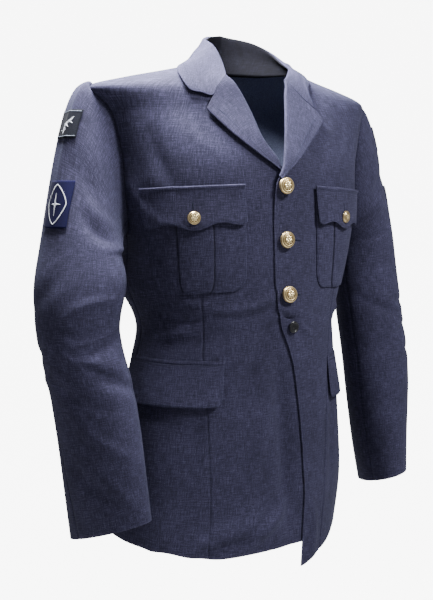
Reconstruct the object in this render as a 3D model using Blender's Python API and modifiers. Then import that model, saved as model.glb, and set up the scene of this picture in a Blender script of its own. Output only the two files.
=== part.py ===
# Single-breasted dress uniform jacket in its worn form, in metres with +Z up.
# +X is the wearer's left and -Y the front.
# The origin lies on the body's centre line at the height of the neck points.
import math

import bmesh
import bpy
from mathutils import Vector

CLOTH = 0.0020
LAYER_GAP = 0.0004
SEAM_ANGLE = 0.08
LEFT, RIGHT = 1, -1

SHOULDER_Z = -0.046
ARMPIT_Z = -0.250
BREAK_Z = {LEFT: -0.172, RIGHT: -0.158}
GORGE_Z = -0.0255
ARMHOLE_FRONT = 10.5
ARMHOLE_BACK = 15.0
# Lift of the left front over the right one, and the angles past its edge over which it fades
FRONT_LIFT = 0.0034
FRONT_LIFT_FADE = (16.0, 40.0)
# Extra lift of the left front where the lapels cross
BREAK_LIFT = 0.0050
BREAK_MIDDLE_Z = -0.163
BREAK_REACH = 0.032

PANEL_COLUMNS = 12
NECK_COLUMNS = 6
LOWER_ROWS = 16
ROLL_ROWS = 7
NECK_ROWS = 6
BACK_NECK_Z = 0.004

# Body sections: height, half width, front depth, back depth, sideways shift, roundness
BODY = (
    (0.014, 0.078, 0.042, 0.080, 0.008, 2.00),
    (0.000, 0.088, 0.050, 0.083, 0.008, 2.00),
    (-0.012, 0.130, 0.056, 0.089, 0.007, 2.05),
    (-0.028, 0.188, 0.064, 0.097, 0.005, 2.10),
    (-0.046, 0.234, 0.071, 0.105, 0.002, 2.15),
    (-0.080, 0.227, 0.087, 0.114, 0.001, 2.20),
    (-0.115, 0.217, 0.103, 0.120, 0.000, 2.20),
    (-0.150, 0.210, 0.114, 0.122, 0.000, 2.20),
    (-0.190, 0.206, 0.119, 0.122, 0.000, 2.20),
    (-0.250, 0.195, 0.121, 0.119, 0.000, 2.20),
    (-0.320, 0.181, 0.124, 0.108, -0.004, 2.20),
    (-0.390, 0.165, 0.126, 0.099, -0.007, 2.15),
    (-0.440, 0.172, 0.127, 0.102, -0.010, 2.10),
    (-0.510, 0.184, 0.129, 0.112, -0.014, 2.10),
    (-0.590, 0.191, 0.134, 0.122, -0.019, 2.10),
    (-0.660, 0.1935, 0.140, 0.128, -0.0245, 2.10),
    (-0.760, 0.1935, 0.149, 0.132, -0.0385, 2.10),
)

# Large body folds: angle, height, slant, half width, half length, rise
BODY_FOLDS = (
    (-19, -0.680, 22, 0.018, 0.070, 0.006),
    (-48, -0.400, 8, 0.014, 0.060, -0.003),
    (24, -0.372, -24, 0.013, 0.055, 0.003),
    (-118, -0.350, 80, 0.018, 0.080, 0.005),
    (122, -0.360, 98, 0.017, 0.085, 0.005),
    (152, -0.300, 84, 0.020, 0.110, 0.004),
    (-150, -0.330, 96, 0.018, 0.100, 0.004),
    (-100, -0.640, 86, 0.024, 0.090, 0.004),
    (70, -0.650, 94, 0.024, 0.090, 0.005),
    (-90, -0.046, 0, 0.016, 0.045, 0.010),
    (82, -0.016, 0, 0.016, 0.060, -0.011),
)

# Front edges below the lapel break: height, left front's angle, right front's angle
FRONT_EDGE = (
    (-0.752, 22.0, 38.0),
    (-0.700, 21.0, 37.0),
    (-0.640, 19.5, 36.0),
    (-0.590, 17.5, 34.0),
    (-0.550, 15.5, 32.0),
    (-0.507, 12.8, 29.0),
    (-0.449, 7.5, 24.0),
    (-0.419, 3.0, 19.0),
    (-0.388, -2.5, 14.0),
    (-0.332, -5.2, 11.5),
    (-0.285, -7.0, 10.0),
    (-0.238, -8.2, 9.0),
    (-0.190, -7.3, 8.0),
    (-0.172, -6.0, 4.0),
    (-0.158, -4.0, -1.6),
)

# Roll lines of the lapels: height, left angle, right angle
ROLL = (
    (-0.1720, -5.0, 2.5),
    (-0.1580, -1.3, -1.6),
    (-0.1430, 1.4, -5.0),
    (-0.1290, 4.2, -10.5),
    (-0.1130, 7.4, -15.5),
    (-0.0850, 13.8, -22.0),
    (-0.0560, 22.5, -31.0),
    (-0.0360, 30.0, -40.5),
    (-0.0255, 34.0, -49.0),
)

# Outer edge of each lapel from the break to the notch tip: share of length, angle, height
LAPEL_EDGE = {
    LEFT: (
        (0.00, -4.6, -0.1740),
        (0.14, 1.8, -0.1633),
        (0.32, 10.0, -0.1513),
        (0.55, 21.4, -0.1335),
        (0.78, 34.9, -0.1123),
        (0.96, 47.0, -0.0903),
        (1.00, 49.5, -0.0829),
    ),
    RIGHT: (
        (0.00, -3.6, -0.1590),
        (0.14, -10.5, -0.1500),
        (0.34, -17.5, -0.1412),
        (0.60, -31.8, -0.1201),
        (0.80, -41.7, -0.1030),
        (0.96, -52.2, -0.0816),
        (1.00, -53.9, -0.0762),
    ),
}
NOTCH = {LEFT: (46.3, -0.0645), RIGHT: (-52.2, -0.0566)}

# Collar stations from the gorge to the centre back:
# neck seam angle and height, fold angle, radius and height, outer edge angle and height
COLLAR = {
    LEFT: (
        (34.0, -0.0255, 36.0, 0.074, -0.0150, 48.3, -0.0590),
        (60.0, -0.0095, 64.0, 0.069, 0.0000, 53.0, -0.0330),
        (90.0, 0.0000, 90.0, 0.071, 0.0150, 88.0, 0.0030),
        (135.0, 0.0020, 135.0, 0.078, 0.0500, 135.0, -0.0010),
        (180.0, 0.0040, 180.0, 0.079, 0.0620, 180.0, -0.0090),
    ),
    RIGHT: (
        (-49.0, -0.0255, -49.0, 0.080, -0.0160, -62.9, -0.0505),
        (-68.0, -0.0090, -68.0, 0.068, 0.0170, -74.0, -0.0210),
        (-90.0, 0.0000, -90.0, 0.065, 0.0350, -90.0, -0.0010),
        (-135.0, 0.0020, -135.0, 0.059, 0.0490, -135.0, -0.0010),
        (-180.0, 0.0040, -180.0, 0.077, 0.0610, -180.0, -0.0090),
    ),
}

# Places along the collar, from 0 at the gorge through 2 at the side to 4 at the centre back
SIDE_PLACE = 2
FRONT_PLACES = tuple(step / 6 for step in range(6)) + (1.0, 4 / 3, 5 / 3)
COLLAR_PLACES = FRONT_PLACES + tuple(SIDE_PLACE + step / 3 for step in range(7))
COLLAR_SHIFT = 0.008
COLLAR_GAP = 0.0008
# Height of the collar's fall over the body at the front and from the side on, the places between, and its top
COLLAR_LIFT = {LEFT: (0.0066, 0.0035), RIGHT: (0.0066, 0.0066)}
COLLAR_LIFT_FADE = (0.7, 1.7)
COLLAR_CLEAR_Z = 0.012
COLLAR_BELLY = 0.002
FALL_SHARES = (0.3, 0.55, 0.8, 1.0)
FOLD_TURNS = (-60, -20, 20, 60)
FOLD_RADIUS = 0.0040
GORGE_GAP = 0.0009
NOTCH_GAP = 0.6
ROLL_INNER = 0.0009
ROLL_GAP = 0.0004
ROLL_TURNS = (-90, -45, 0, 45, 90)
# Lapel points across from the roll to the edge: share, height over the front
LAPEL_SPOTS = (
    (0.12, 0.0022),
    (0.30, 0.0022),
    (0.50, 0.0018),
    (0.75, 0.0014),
    (1.00, 0.0012),
)

# Hem heights by angle from the front: angle, left height, right height
HEM = (
    (0.0, -0.754, -0.716),
    (24.0, -0.752, -0.717),
    (32.0, -0.744, -0.717),
    (45.0, -0.735, -0.714),
    (60.0, -0.725, -0.707),
    (90.0, -0.716, -0.702),
    (180.0, -0.712, -0.712),
)

# Sleeve sections: height, right and left centre from the middle, right and left depth,
# long and short half sizes, turn
SLEEVE = (
    (-0.250, 0.272, 0.261, -0.010, 0.016, 0.059, 0.052, 0),
    (-0.330, 0.288, 0.258, -0.028, 0.000, 0.059, 0.056, 10),
    (-0.400, 0.287, 0.256, -0.040, -0.018, 0.060, 0.056, 20),
    (-0.460, 0.276, 0.254, -0.050, -0.034, 0.061, 0.055, 24),
    (-0.530, 0.268, 0.250, -0.058, -0.048, 0.063, 0.051, 25),
    (-0.600, 0.263, 0.246, -0.065, -0.060, 0.066, 0.044, 25),
    (-0.672, 0.257, 0.246, -0.069, -0.070, 0.069, 0.036, 25),
)
# Rise of the cuff's edge forward and to the wearer's left
CUFF_TILT = 0.31
CUFF_LEAN = 0.16
CAP_JOIN_Z = -0.280
CUFF_Z = -0.665
CAP_SWELL = {LEFT: 0.038, RIGHT: 0.078}
CAP_RISE = {LEFT: -0.006, RIGHT: 0.070}
# Run of the sleeve cap off the armhole: its swell, its rise at the top, outward, forward, downward, into the arm
CAP_OUT = 0.025
CAP_FORWARD = 0.040
CAP_DOWN = 0.034
CAP_REACH = 0.035
CAP_TOP_REACH = 0.185
CAP_BLEND = 0.010
SLEEVE_SEAM_FRONT = {LEFT: 164, RIGHT: 144}
# Hind seam of the sleeves: station down the sleeve, angle round the arm
SLEEVE_SEAM_BACK = (
    (0.00, -72.0),
    (0.95, -72.0),
    (1.20, -62.0),
    (1.42, -34.0),
    (1.60, -12.0),
    (1.80, -4.0),
    (2.00, 0.0),
)
SLEEVE_GAP = 0.18
CAP_GAP = 0.0005
CAP_ROWS = 7
ARM_ROWS = 11
TOP_COLUMNS = 12
UNDER_COLUMNS = 8

# Sleeve folds: side, angle round the arm, height, slant, half width, half length, rise
SLEEVE_FOLDS = (
    (LEFT, 96, -0.385, 20, 0.010, 0.040, -0.004),
    (LEFT, 104, -0.440, -24, 0.011, 0.045, -0.004),
    (LEFT, 40, -0.170, -50, 0.014, 0.050, -0.003),
    (RIGHT, 100, -0.400, 18, 0.011, 0.042, -0.004),
    (RIGHT, 108, -0.452, -22, 0.010, 0.040, -0.003),
    (RIGHT, 60, -0.190, -60, 0.016, 0.050, -0.003),
)

# Breast pockets: corner angles and heights at the top inner, top outer, bottom inner and bottom outer
BREAST_POCKET = {
    LEFT: ((27.0, -0.1830), (72.5, -0.1880), (30.5, -0.3350), (72.0, -0.3380)),
    RIGHT: ((-29.8, -0.1820), (-76.5, -0.1880), (-26.0, -0.3330), (-74.0, -0.3390)),
}
POCKET_WIDTH = 0.150
POCKET_WALL = 0.0015
POCKET_GAP = 0.0007
POCKET_CORNER = 0.024
POCKET_SWELL = 0.0030
POCKET_BOW = {LEFT: 0.0, RIGHT: -3.0}
POCKET_ROWS = (0.05, 0.3, 0.5, 0.7, 0.84, 0.90, 0.95, 0.98, 1.0)
PLEAT_HALF = 0.17
PLEAT_STEP = 0.012
PLEAT_RISE = 0.0012
POCKET_COLUMNS = (0.0, 0.11, 0.22, 0.5 - PLEAT_HALF, 0.5, 0.5 + PLEAT_HALF, 0.78, 0.89, 1.0)
FLAP_ROWS = (0.0, 0.3, 0.6, 0.85, 1.0)
FLAP_COLUMNS = 14
# Lower edge of the breast flap: share across, depth
FLAP_EDGE = (
    (0.00, 0.0520),
    (0.06, 0.0560),
    (0.27, 0.0510),
    (0.50, 0.0610),
    (0.73, 0.0510),
    (0.94, 0.0560),
    (1.00, 0.0520),
)
FLAP_WALL = 0.0018

# Hip flaps: inner angle, outer angle, top height
HIP_FLAP = {LEFT: (47.0, 104.0, -0.4520), RIGHT: (-37.5, -95.0, -0.4395)}
HIP_FLAP_DEPTH = 0.060
HIP_FLAP_CORNER = 0.016
HIP_FLAP_SPRING = 0.0025
HIP_FLAP_ROWS = (0.0, 0.35, 0.7, 0.82, 0.92, 0.98, 1.0)
HIP_FLAP_COLUMNS = 12
WELT_DEPTH = 0.006
WELT_WALL = 0.0010

# Front buttons: name, angle, height
FRONT_BUTTONS = (
    ("front_button_1", -0.6, -0.1835),
    ("front_button_2", 0.9, -0.2610),
    ("front_button_3", 4.2, -0.3415),
)
WAIST_BUTTON = ("waist_button", 8.6, -0.3895)
BRASS_RADIUS = 0.0125
POCKET_BUTTON_RADIUS = 0.0095
WAIST_BUTTON_RADIUS = 0.0085
POCKET_BUTTON_DROP = 0.043
BUTTON_GAP = 0.0005
BUTTON_STEPS = 18
BUTTON_DOME = 0.36
BUTTON_RIM = 0.10
SHANK_RADIUS = 0.26
BRASS_SHANK = 0.0028
POCKET_SHANK = 0.0018
WAIST_SHANK = 0.0015
DOME_TURNS = (30, 55, 75)

BADGE_WALL = 0.0012
BADGE_GAP = 0.0009
BADGE_COLUMNS = 6
BADGE_ROWS = 4
# Sleeve badges: name, right and left centre angle, half width, top height, bottom height
BADGES = (
    ("shoulder_badge", 12, -2, 0.024, -0.0800, -0.1190),
    ("sleeve_badge", 22, 4, 0.023, -0.1780, -0.2420),
)

VENT_TOP_Z = -0.500
VENT_HALF_WIDTH = 0.028
VENT_ROWS = 6
VENT_COLUMNS = 4
VENT_RISE = 0.004

WOOL_BLUE = (0.075, 0.105, 0.175)
BRASS_GOLD = (0.72, 0.50, 0.17)
BADGE_NAVY = (0.010, 0.013, 0.030)
BADGE_GREY = (0.050, 0.058, 0.058)
BUTTON_BLACK = (0.012, 0.012, 0.015)


def clear_scene():
    for item in list(bpy.data.objects):
        bpy.data.objects.remove(item, do_unlink=True)


def cubic_row(table, key):
    """Row of a table read at a key in its first column, through a smooth curve."""
    rising = table[-1][0] > table[0][0]
    rows = table if rising else table[::-1]
    last = len(rows) - 1
    key = min(max(key, rows[0][0]), rows[last][0])
    index = 0
    while index < last - 1 and key > rows[index + 1][0]:
        index += 1
    span = rows[index + 1][0] - rows[index][0]
    part = (key - rows[index][0]) / span

    def slope(row, column):
        low = max(row - 1, 0)
        high = min(row + 1, last)
        return (rows[high][column] - rows[low][column]) / (rows[high][0] - rows[low][0])

    values = []
    for column in range(1, len(rows[0])):
        start, end = rows[index][column], rows[index + 1][column]
        leave = slope(index, column) * span
        reach = slope(index + 1, column) * span
        values.append(hermite(start, leave, end, reach, part))
    return values


def linear_row(table, key):
    """Row of a table read at a key in its first column, along straight lines."""
    rows = table if table[-1][0] > table[0][0] else table[::-1]
    key = min(max(key, rows[0][0]), rows[-1][0])
    index = 0
    while index < len(rows) - 2 and key > rows[index + 1][0]:
        index += 1
    low, high = rows[index], rows[index + 1]
    part = (key - low[0]) / (high[0] - low[0])
    return [a + (b - a) * part for a, b in zip(low[1:], high[1:])]


def hermite(start, leave, end, reach, t):
    t2, t3 = t * t, t * t * t
    ends = start * (2 * t3 - 3 * t2 + 1) + end * (3 * t2 - 2 * t3)
    return ends + leave * (t3 - 2 * t2 + t) + reach * (t3 - t2)


def smooth(low, high, value):
    part = min(max((value - low) / (high - low), 0.0), 1.0)
    return part * part * (3 - 2 * part)


def mix(a, b, part):
    return a + (b - a) * part


def fold_rise(folds, angle, height, radius):
    rise = 0.0
    for fold_angle, fold_z, slant, half_width, half_length, amount in folds:
        turn = (angle - fold_angle + 180) % 360 - 180
        around = math.radians(turn) * radius
        up = height - fold_z
        lean = math.radians(slant)
        along = around * math.cos(lean) + up * math.sin(lean)
        across = up * math.cos(lean) - around * math.sin(lean)
        rise += amount * math.exp(-((across / half_width) ** 2) - (along / half_length) ** 2)
    return rise


def torso(angle, height):
    half_width, front, back, shift, roundness = cubic_row(BODY, height)
    sine = math.sin(math.radians(angle))
    cosine = math.cos(math.radians(angle))
    depth = front if cosine >= 0 else back
    radius = (abs(sine / half_width) ** roundness + abs(cosine / depth) ** roundness) ** (-1 / roundness)
    radius += fold_rise(BODY_FOLDS, angle, height, radius)
    return Vector((shift + radius * sine, -radius * cosine, height))


def on_torso(angle, height, lift=0.0):
    step_angle, step_height = 0.5, 0.002
    around = torso(angle + step_angle, height) - torso(angle - step_angle, height)
    upward = torso(angle, height + step_height) - torso(angle, height - step_height)
    normal = around.cross(upward).normalized()
    return torso(angle, height) + normal * lift


def torso_normal(angle, height):
    return on_torso(angle, height, 1.0) - torso(angle, height)


def front_lift(side, angle, height):
    """Height of the left front over the right front in the overlap."""
    if side == RIGHT:
        return 0.0
    near = 1 - smooth(*FRONT_LIFT_FADE, angle - linear_row(FRONT_EDGE, height)[0])
    at_break = math.exp(-(((height - BREAK_MIDDLE_Z) / BREAK_REACH) ** 2))
    return near * (FRONT_LIFT + BREAK_LIFT * at_break)


def armhole(side, phi):
    """Angle and height on the body of the armhole, phi degrees from the shoulder tip towards the front."""
    middle = (SHOULDER_Z + ARMPIT_Z) / 2
    half = (SHOULDER_Z - ARMPIT_Z) / 2
    swing = math.sin(math.radians(phi))
    reach = ARMHOLE_FRONT if swing > 0 else ARMHOLE_BACK
    return side * (90 - reach * swing), middle + half * math.cos(math.radians(phi))


def hem_height(side, angle):
    left_z, right_z = cubic_row(HEM, abs(angle))
    return left_z if side == LEFT else right_z


def signed(side, left_value, right_value):
    return left_value if side == LEFT else right_value


def add_material(name, color, roughness, metallic=0.0):
    material = bpy.data.materials.new(name)
    material.use_nodes = True
    shader = material.node_tree.nodes["Principled BSDF"]
    shader.inputs["Base Color"].default_value = (*color, 1.0)
    shader.inputs["Roughness"].default_value = roughness
    shader.inputs["Metallic"].default_value = metallic
    return material


def finish_mesh(name, build, collection, material):
    mesh = bpy.data.meshes.new(name)
    bmesh.ops.recalc_face_normals(build, faces=build.faces)
    build.to_mesh(mesh)
    build.free()
    mesh.materials.append(material)
    mesh.shade_smooth()
    mesh.set_sharp_from_angle(angle=math.radians(40))
    piece = bpy.data.objects.new(name, mesh)
    collection.objects.link(piece)
    return piece


def cloth_wall(name, face, back, collection, material):
    """Closed wall between two grids of points with the same rows and columns."""
    rows, columns = len(face), len(face[0])
    build = bmesh.new()
    front = [[build.verts.new(point) for point in row] for row in face]
    rear = [[build.verts.new(point) for point in row] for row in back]
    for r in range(rows - 1):
        for c in range(columns - 1):
            build.faces.new((front[r][c], front[r][c + 1], front[r + 1][c + 1], front[r + 1][c]))
            build.faces.new((rear[r][c], rear[r + 1][c], rear[r + 1][c + 1], rear[r][c + 1]))
    loop = [(0, c) for c in range(columns)]
    loop += [(r, columns - 1) for r in range(1, rows)]
    loop += [(rows - 1, c) for c in range(columns - 2, -1, -1)]
    loop += [(r, 0) for r in range(rows - 2, 0, -1)]
    for (r0, c0), (r1, c1) in zip(loop, loop[1:] + loop[:1]):
        build.faces.new((front[r0][c0], rear[r0][c0], rear[r1][c1], front[r1][c1]))
    return finish_mesh(name, build, collection, material)


def torso_sheet(name, spots, lift, wall, collection, material):
    """Wall on the body: spots holds rows of (angle, height), lift(angle, height) its inner face."""
    face = [[on_torso(a, z, lift(a, z) + wall) for a, z in row] for row in spots]
    back = [[on_torso(a, z, lift(a, z)) for a, z in row] for row in spots]
    return cloth_wall(name, face, back, collection, material)


def front_spots(side):
    """Rows of a front panel from hem to shoulder, each from the front edge to the side."""
    column = 0 if side == LEFT else 1
    away = side * SEAM_ANGLE
    rows = []
    hem_front = hem_height(side, abs(FRONT_EDGE[0][1 + column]))
    hem_side = hem_height(side, 90)
    for step in range(LOWER_ROWS):
        part = step / LOWER_ROWS
        edge_z = mix(hem_front, BREAK_Z[side], part)
        side_z = mix(hem_side, ARMPIT_Z, part)
        edge_angle = cubic_row(FRONT_EDGE, edge_z)[column]
        row = []
        for c in range(PANEL_COLUMNS + 1):
            share = c / PANEL_COLUMNS
            angle = mix(edge_angle, side * 90 - away, share)
            straight = mix(hem_front, hem_side, share)
            drop = hem_height(side, angle) - straight
            row.append((angle, mix(edge_z, side_z, share) + drop * (1 - part) ** 2))
        rows.append(row)
    edges = []
    for step in range(ROLL_ROWS):
        z = mix(BREAK_Z[side], GORGE_Z, step / ROLL_ROWS)
        edges.append((cubic_row(ROLL, z)[column], z))
    for step in range(NECK_ROWS + 1):
        edges.append(tuple(collar_station(side, SIDE_PLACE * step / NECK_ROWS)[:2]))
    total = len(edges) - 1
    for step, (edge_angle, edge_z) in enumerate(edges):
        side_angle, side_z = armhole(side, 180 * (1 - step / total))
        row = []
        for c in range(PANEL_COLUMNS + 1):
            share = c / PANEL_COLUMNS
            angle = mix(edge_angle, side_angle, share)
            limit = 90 - SEAM_ANGLE
            angle = side * min(side * angle, limit)
            row.append((angle, mix(edge_z, side_z, share)))
        rows.append(row)
    return rows


def back_spots(side):
    """Rows of a back panel from hem to neck and shoulder, each from the centre back to the side."""
    centre = side * (180 - SEAM_ANGLE)
    seam = side * (90 + SEAM_ANGLE)
    shares = [c / PANEL_COLUMNS for c in range(PANEL_COLUMNS + 1)]
    rows = []
    for step in range(LOWER_ROWS):
        part = step / LOWER_ROWS
        angles = [mix(centre, seam, share) for share in shares]
        rows.append([(a, mix(hem_height(side, a), ARMPIT_Z, part)) for a in angles])
    upper = ROLL_ROWS + NECK_ROWS
    neck_share = NECK_COLUMNS / PANEL_COLUMNS
    for step in range(upper + 1):
        part = step / upper
        side_angle, side_z = armhole(side, -180 * (1 - part))
        side_angle = side * max(side * side_angle, 90 + SEAM_ANGLE)
        centre_z = mix(ARMPIT_Z, BACK_NECK_Z, part)
        row = []
        for share in shares:
            angle = mix(centre, side_angle, share)
            z = mix(centre_z, side_z, share)
            if share <= neck_share:
                top_angle = mix(centre, seam, share / neck_share)
                top_z = mix(BACK_NECK_Z, 0.0, share / neck_share)
            else:
                top_angle = seam
                top_z = mix(0.0, SHOULDER_Z, (share - neck_share) / (1 - neck_share))
            pull = part ** 2
            angle += (top_angle - mix(centre, seam, share)) * pull
            z += (top_z - mix(BACK_NECK_Z, SHOULDER_Z, share)) * pull
            row.append((angle, z))
        rows.append(row)
    return rows


def vent_spots():
    low = hem_height(LEFT, 180) + VENT_RISE
    reach = math.degrees(VENT_HALF_WIDTH / BODY[-2][3])
    rows = []
    for step in range(VENT_ROWS + 1):
        z = mix(low, VENT_TOP_Z, step / VENT_ROWS)
        rows.append([(180 + reach * share, z) for share in spread(-1, 1, VENT_COLUMNS)])
    return rows


def sleeve_ring(side, phi, z):
    """Point of the sleeve below its cap, phi degrees round the arm from its outer side towards the front."""
    right_x, left_x, right_y, left_y, long_half, short_half, turn = cubic_row(SLEEVE, z)
    centre_x = signed(side, left_x, right_x)
    depth = signed(side, left_y, right_y)
    lean = math.radians(turn)
    swing = math.radians(phi) - lean
    forward = math.sin(swing) * long_half
    outward = math.cos(swing) * short_half
    radius = (long_half + short_half) / 2
    rise = 0.0
    for fold_side, *fold in SLEEVE_FOLDS:
        if fold_side == side:
            rise += fold_rise([fold], phi, z, radius)
    forward += rise * math.sin(swing)
    outward += rise * math.cos(swing)
    x = side * (centre_x + outward * math.cos(lean) - forward * math.sin(lean))
    y = depth - forward * math.cos(lean) - outward * math.sin(lean)
    near_cuff = smooth(SLEEVE[2][0], SLEEVE[-1][0], z)
    tilt = (depth - y) * CUFF_TILT + (x - side * centre_x) * CUFF_LEAN
    return Vector((x, y, z + tilt * near_cuff))


def sleeve_cap(side, phi, part):
    """Point of the sleeve's cap between the armhole (part 0) and the ring below it (part 1)."""
    angle, z = armhole(side, phi)
    start = torso(angle, z)
    inward = math.radians(phi)
    start += Vector((side * CAP_GAP, CAP_GAP * math.sin(inward), -CAP_GAP * math.cos(inward)))
    end = sleeve_ring(side, phi, CAP_JOIN_Z)
    top = (1 + math.cos(inward)) / 2
    front = math.sin(inward)
    outward = side * (CAP_OUT + CAP_SWELL[side] * top)
    leave = Vector((outward, -CAP_FORWARD * front, CAP_RISE[side] * top - CAP_DOWN * (1 - top)))
    below = sleeve_ring(side, phi, CAP_JOIN_Z - CAP_BLEND)
    reach = (below - end).normalized() * (CAP_REACH + CAP_TOP_REACH * top)
    return Vector(hermite(start[i], leave[i], end[i], reach[i], part) for i in range(3))


def sleeve_point(side, phi, station):
    """Sleeve surface: stations 0 to 1 run down the cap, 1 to 2 down to the cuff."""
    if station <= 1:
        return sleeve_cap(side, phi, max(station, 0.0))
    return sleeve_ring(side, phi, mix(CAP_JOIN_Z, CUFF_Z, station - 1))


def on_sleeve(side, phi, station, lift):
    around = sleeve_point(side, phi + 2, station) - sleeve_point(side, phi - 2, station)
    low = max(station - 0.01, 0.0)
    down = sleeve_point(side, phi, low + 0.02) - sleeve_point(side, phi, low)
    normal = around.cross(down).normalized() * side
    return sleeve_point(side, phi, station) + normal * lift


def spread(start, end, count):
    return [mix(start, end, step / count) for step in range(count + 1)]


def sleeve_sheet(name, side, spans, columns, stations, collection, material):
    """Wall of a sleeve piece, with the angles of its two seams at each station down the sleeve."""
    face, back = [], []
    for station, (start, end) in zip(stations, spans):
        phis = spread(start + SLEEVE_GAP, end - SLEEVE_GAP, columns)
        face.append([on_sleeve(side, phi, station, 0.0) for phi in phis])
        back.append([on_sleeve(side, phi, station, -CLOTH) for phi in phis])
    return cloth_wall(name, face, back, collection, material)


def hind_sleeve_seam(station):
    return cubic_row(SLEEVE_SEAM_BACK, station)[0]


def add_sleeves(side, prefix, collection, wool):
    stations = spread(0, 1, CAP_ROWS) + spread(1, 2, ARM_ROWS)[1:]
    front_seam = SLEEVE_SEAM_FRONT[side]
    top_spans = [(hind_sleeve_seam(station), front_seam) for station in stations]
    under_spans = [(front_seam, hind_sleeve_seam(station) + 360) for station in stations]
    sleeve_sheet(prefix + "top_sleeve", side, top_spans, TOP_COLUMNS, stations, collection, wool)
    sleeve_sheet(prefix + "under_sleeve", side, under_spans, UNDER_COLUMNS, stations, collection, wool)


def station_at(side, phi, z):
    """Station down the sleeve at which its surface reaches a height."""
    low, high = 0.02, 2.0
    for _ in range(30):
        middle = (low + high) / 2
        if sleeve_point(side, phi, middle).z > z:
            low = middle
        else:
            high = middle
    return low


def add_badges(side, prefix, collection, materials):
    for name, right_phi, left_phi, half_width, top, bottom in BADGES:
        phi = signed(side, left_phi, right_phi)
        reach = math.degrees(half_width / SLEEVE[0][5])
        phis = spread(phi - reach, phi + reach, BADGE_COLUMNS)
        face, back = [], []
        for z in spread(top, bottom, BADGE_ROWS):
            spots = [(p, station_at(side, p, z)) for p in phis]
            face.append([on_sleeve(side, p, s, BADGE_GAP + BADGE_WALL) for p, s in spots])
            back.append([on_sleeve(side, p, s, BADGE_GAP) for p, s in spots])
        cloth_wall(prefix + name, face, back, collection, materials[name])


def collar_station(side, place):
    """Seam angle and height, fold angle, radius and height, edge angle and height at a place."""
    table = [(index, *row) for index, row in enumerate(COLLAR[side])]
    return cubic_row(table, place)


def clear_of_body(point, lift):
    """Point below the neck moved out along the body's normal until it stands the lift above it."""
    if point.z > COLLAR_CLEAR_Z:
        return point
    for _ in range(12):
        angle = math.degrees(math.atan2(point.x, -point.y))
        normal = torso_normal(angle, point.z)
        gap = (point - torso(angle, point.z)).dot(normal)
        if gap >= lift:
            break
        point = point + normal * (lift - gap)
    return point


def neck_line(side, place):
    """Both faces of the collar from the neck seam over the fold to the outer edge, the visible one first."""
    seam_a, seam_z, fold_a, fold_r, fold_z, edge_a, edge_z = collar_station(side, place)
    climb = (torso(seam_a, seam_z + 0.002) - torso(seam_a, seam_z - 0.002)).normalized() * COLLAR_GAP
    start = on_torso(seam_a, seam_z, -CLOTH) + climb
    angle = math.radians(fold_a)
    centre = Vector((COLLAR_SHIFT, 0, 0))
    outward = Vector((math.sin(angle), -math.cos(angle), 0))
    fold = centre + outward * fold_r + Vector((0, 0, fold_z))
    lift = mix(*COLLAR_LIFT[side], smooth(*COLLAR_LIFT_FADE, place))
    end = on_torso(edge_a, edge_z, lift)
    fall = (end - fold).normalized()
    rise = (fold - start).normalized()
    crown = (rise - fall).normalized()
    over = (fall + rise).normalized()
    line = [start, start.lerp(fold, 0.5)]
    for turn in FOLD_TURNS:
        bend = math.radians(turn)
        line.append(fold - crown * FOLD_RADIUS + (crown * math.cos(bend) + over * math.sin(bend)) * FOLD_RADIUS)
    for share in FALL_SHARES:
        point = fold.lerp(end, share)
        point += (crown * 0.4 + outward).normalized() * COLLAR_BELLY * math.sin(math.pi * share)
        line.append(clear_of_body(point, lift))
    along = -Vector((math.cos(angle), math.sin(angle), 0))
    rear = []
    for index, point in enumerate(line):
        tangent = line[min(index + 1, len(line) - 1)] - line[max(index - 1, 0)]
        rear.append(point + tangent.cross(along).normalized() * CLOTH)
    rear[0] = on_torso(seam_a, seam_z, 0.0) + climb
    return line, rear


def gorge_line(side):
    """Front end of the collar, along the lapel's top to the notch and on to the collar's tip."""
    column = 0 if side == LEFT else 1
    roll = (cubic_row(ROLL, GORGE_Z)[column], GORGE_Z + GORGE_GAP)
    notch = (NOTCH[side][0] + side * NOTCH_GAP, NOTCH[side][1] + GORGE_GAP)
    return lapel_line(side, roll, COLLAR[side][0][5:], notch)


def collar_line(side, place):
    settle = smooth(0.0, 1.0, place)
    front = gorge_line(side)
    if settle == 0:
        return front
    neck = neck_line(side, place)
    faces = []
    for ending, standing in zip(front, neck):
        line = [a.lerp(b, settle) for a, b in zip(ending, standing)]
        line[0] = standing[0]
        faces.append(line)
    return faces


def add_collar(collection, wool):
    lines = [collar_line(RIGHT, place) for place in COLLAR_PLACES]
    lines += [collar_line(LEFT, place) for place in COLLAR_PLACES[-2::-1]]
    cloth_wall("collar", [pair[0] for pair in lines], [pair[1] for pair in lines], collection, wool)


def lapel_rows(side):
    """Roll and edge spots (angle, height) of each lapel station, from the break to the gorge."""
    column = 0 if side == LEFT else 1
    rows = []
    for step in range(ROLL_ROWS + 1):
        part = step / ROLL_ROWS
        roll_z = mix(BREAK_Z[side], GORGE_Z, part)
        roll = (cubic_row(ROLL, roll_z)[column], roll_z)
        edge = tuple(cubic_row(LAPEL_EDGE[side], part))
        rows.append((roll, edge))
    return rows


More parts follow.
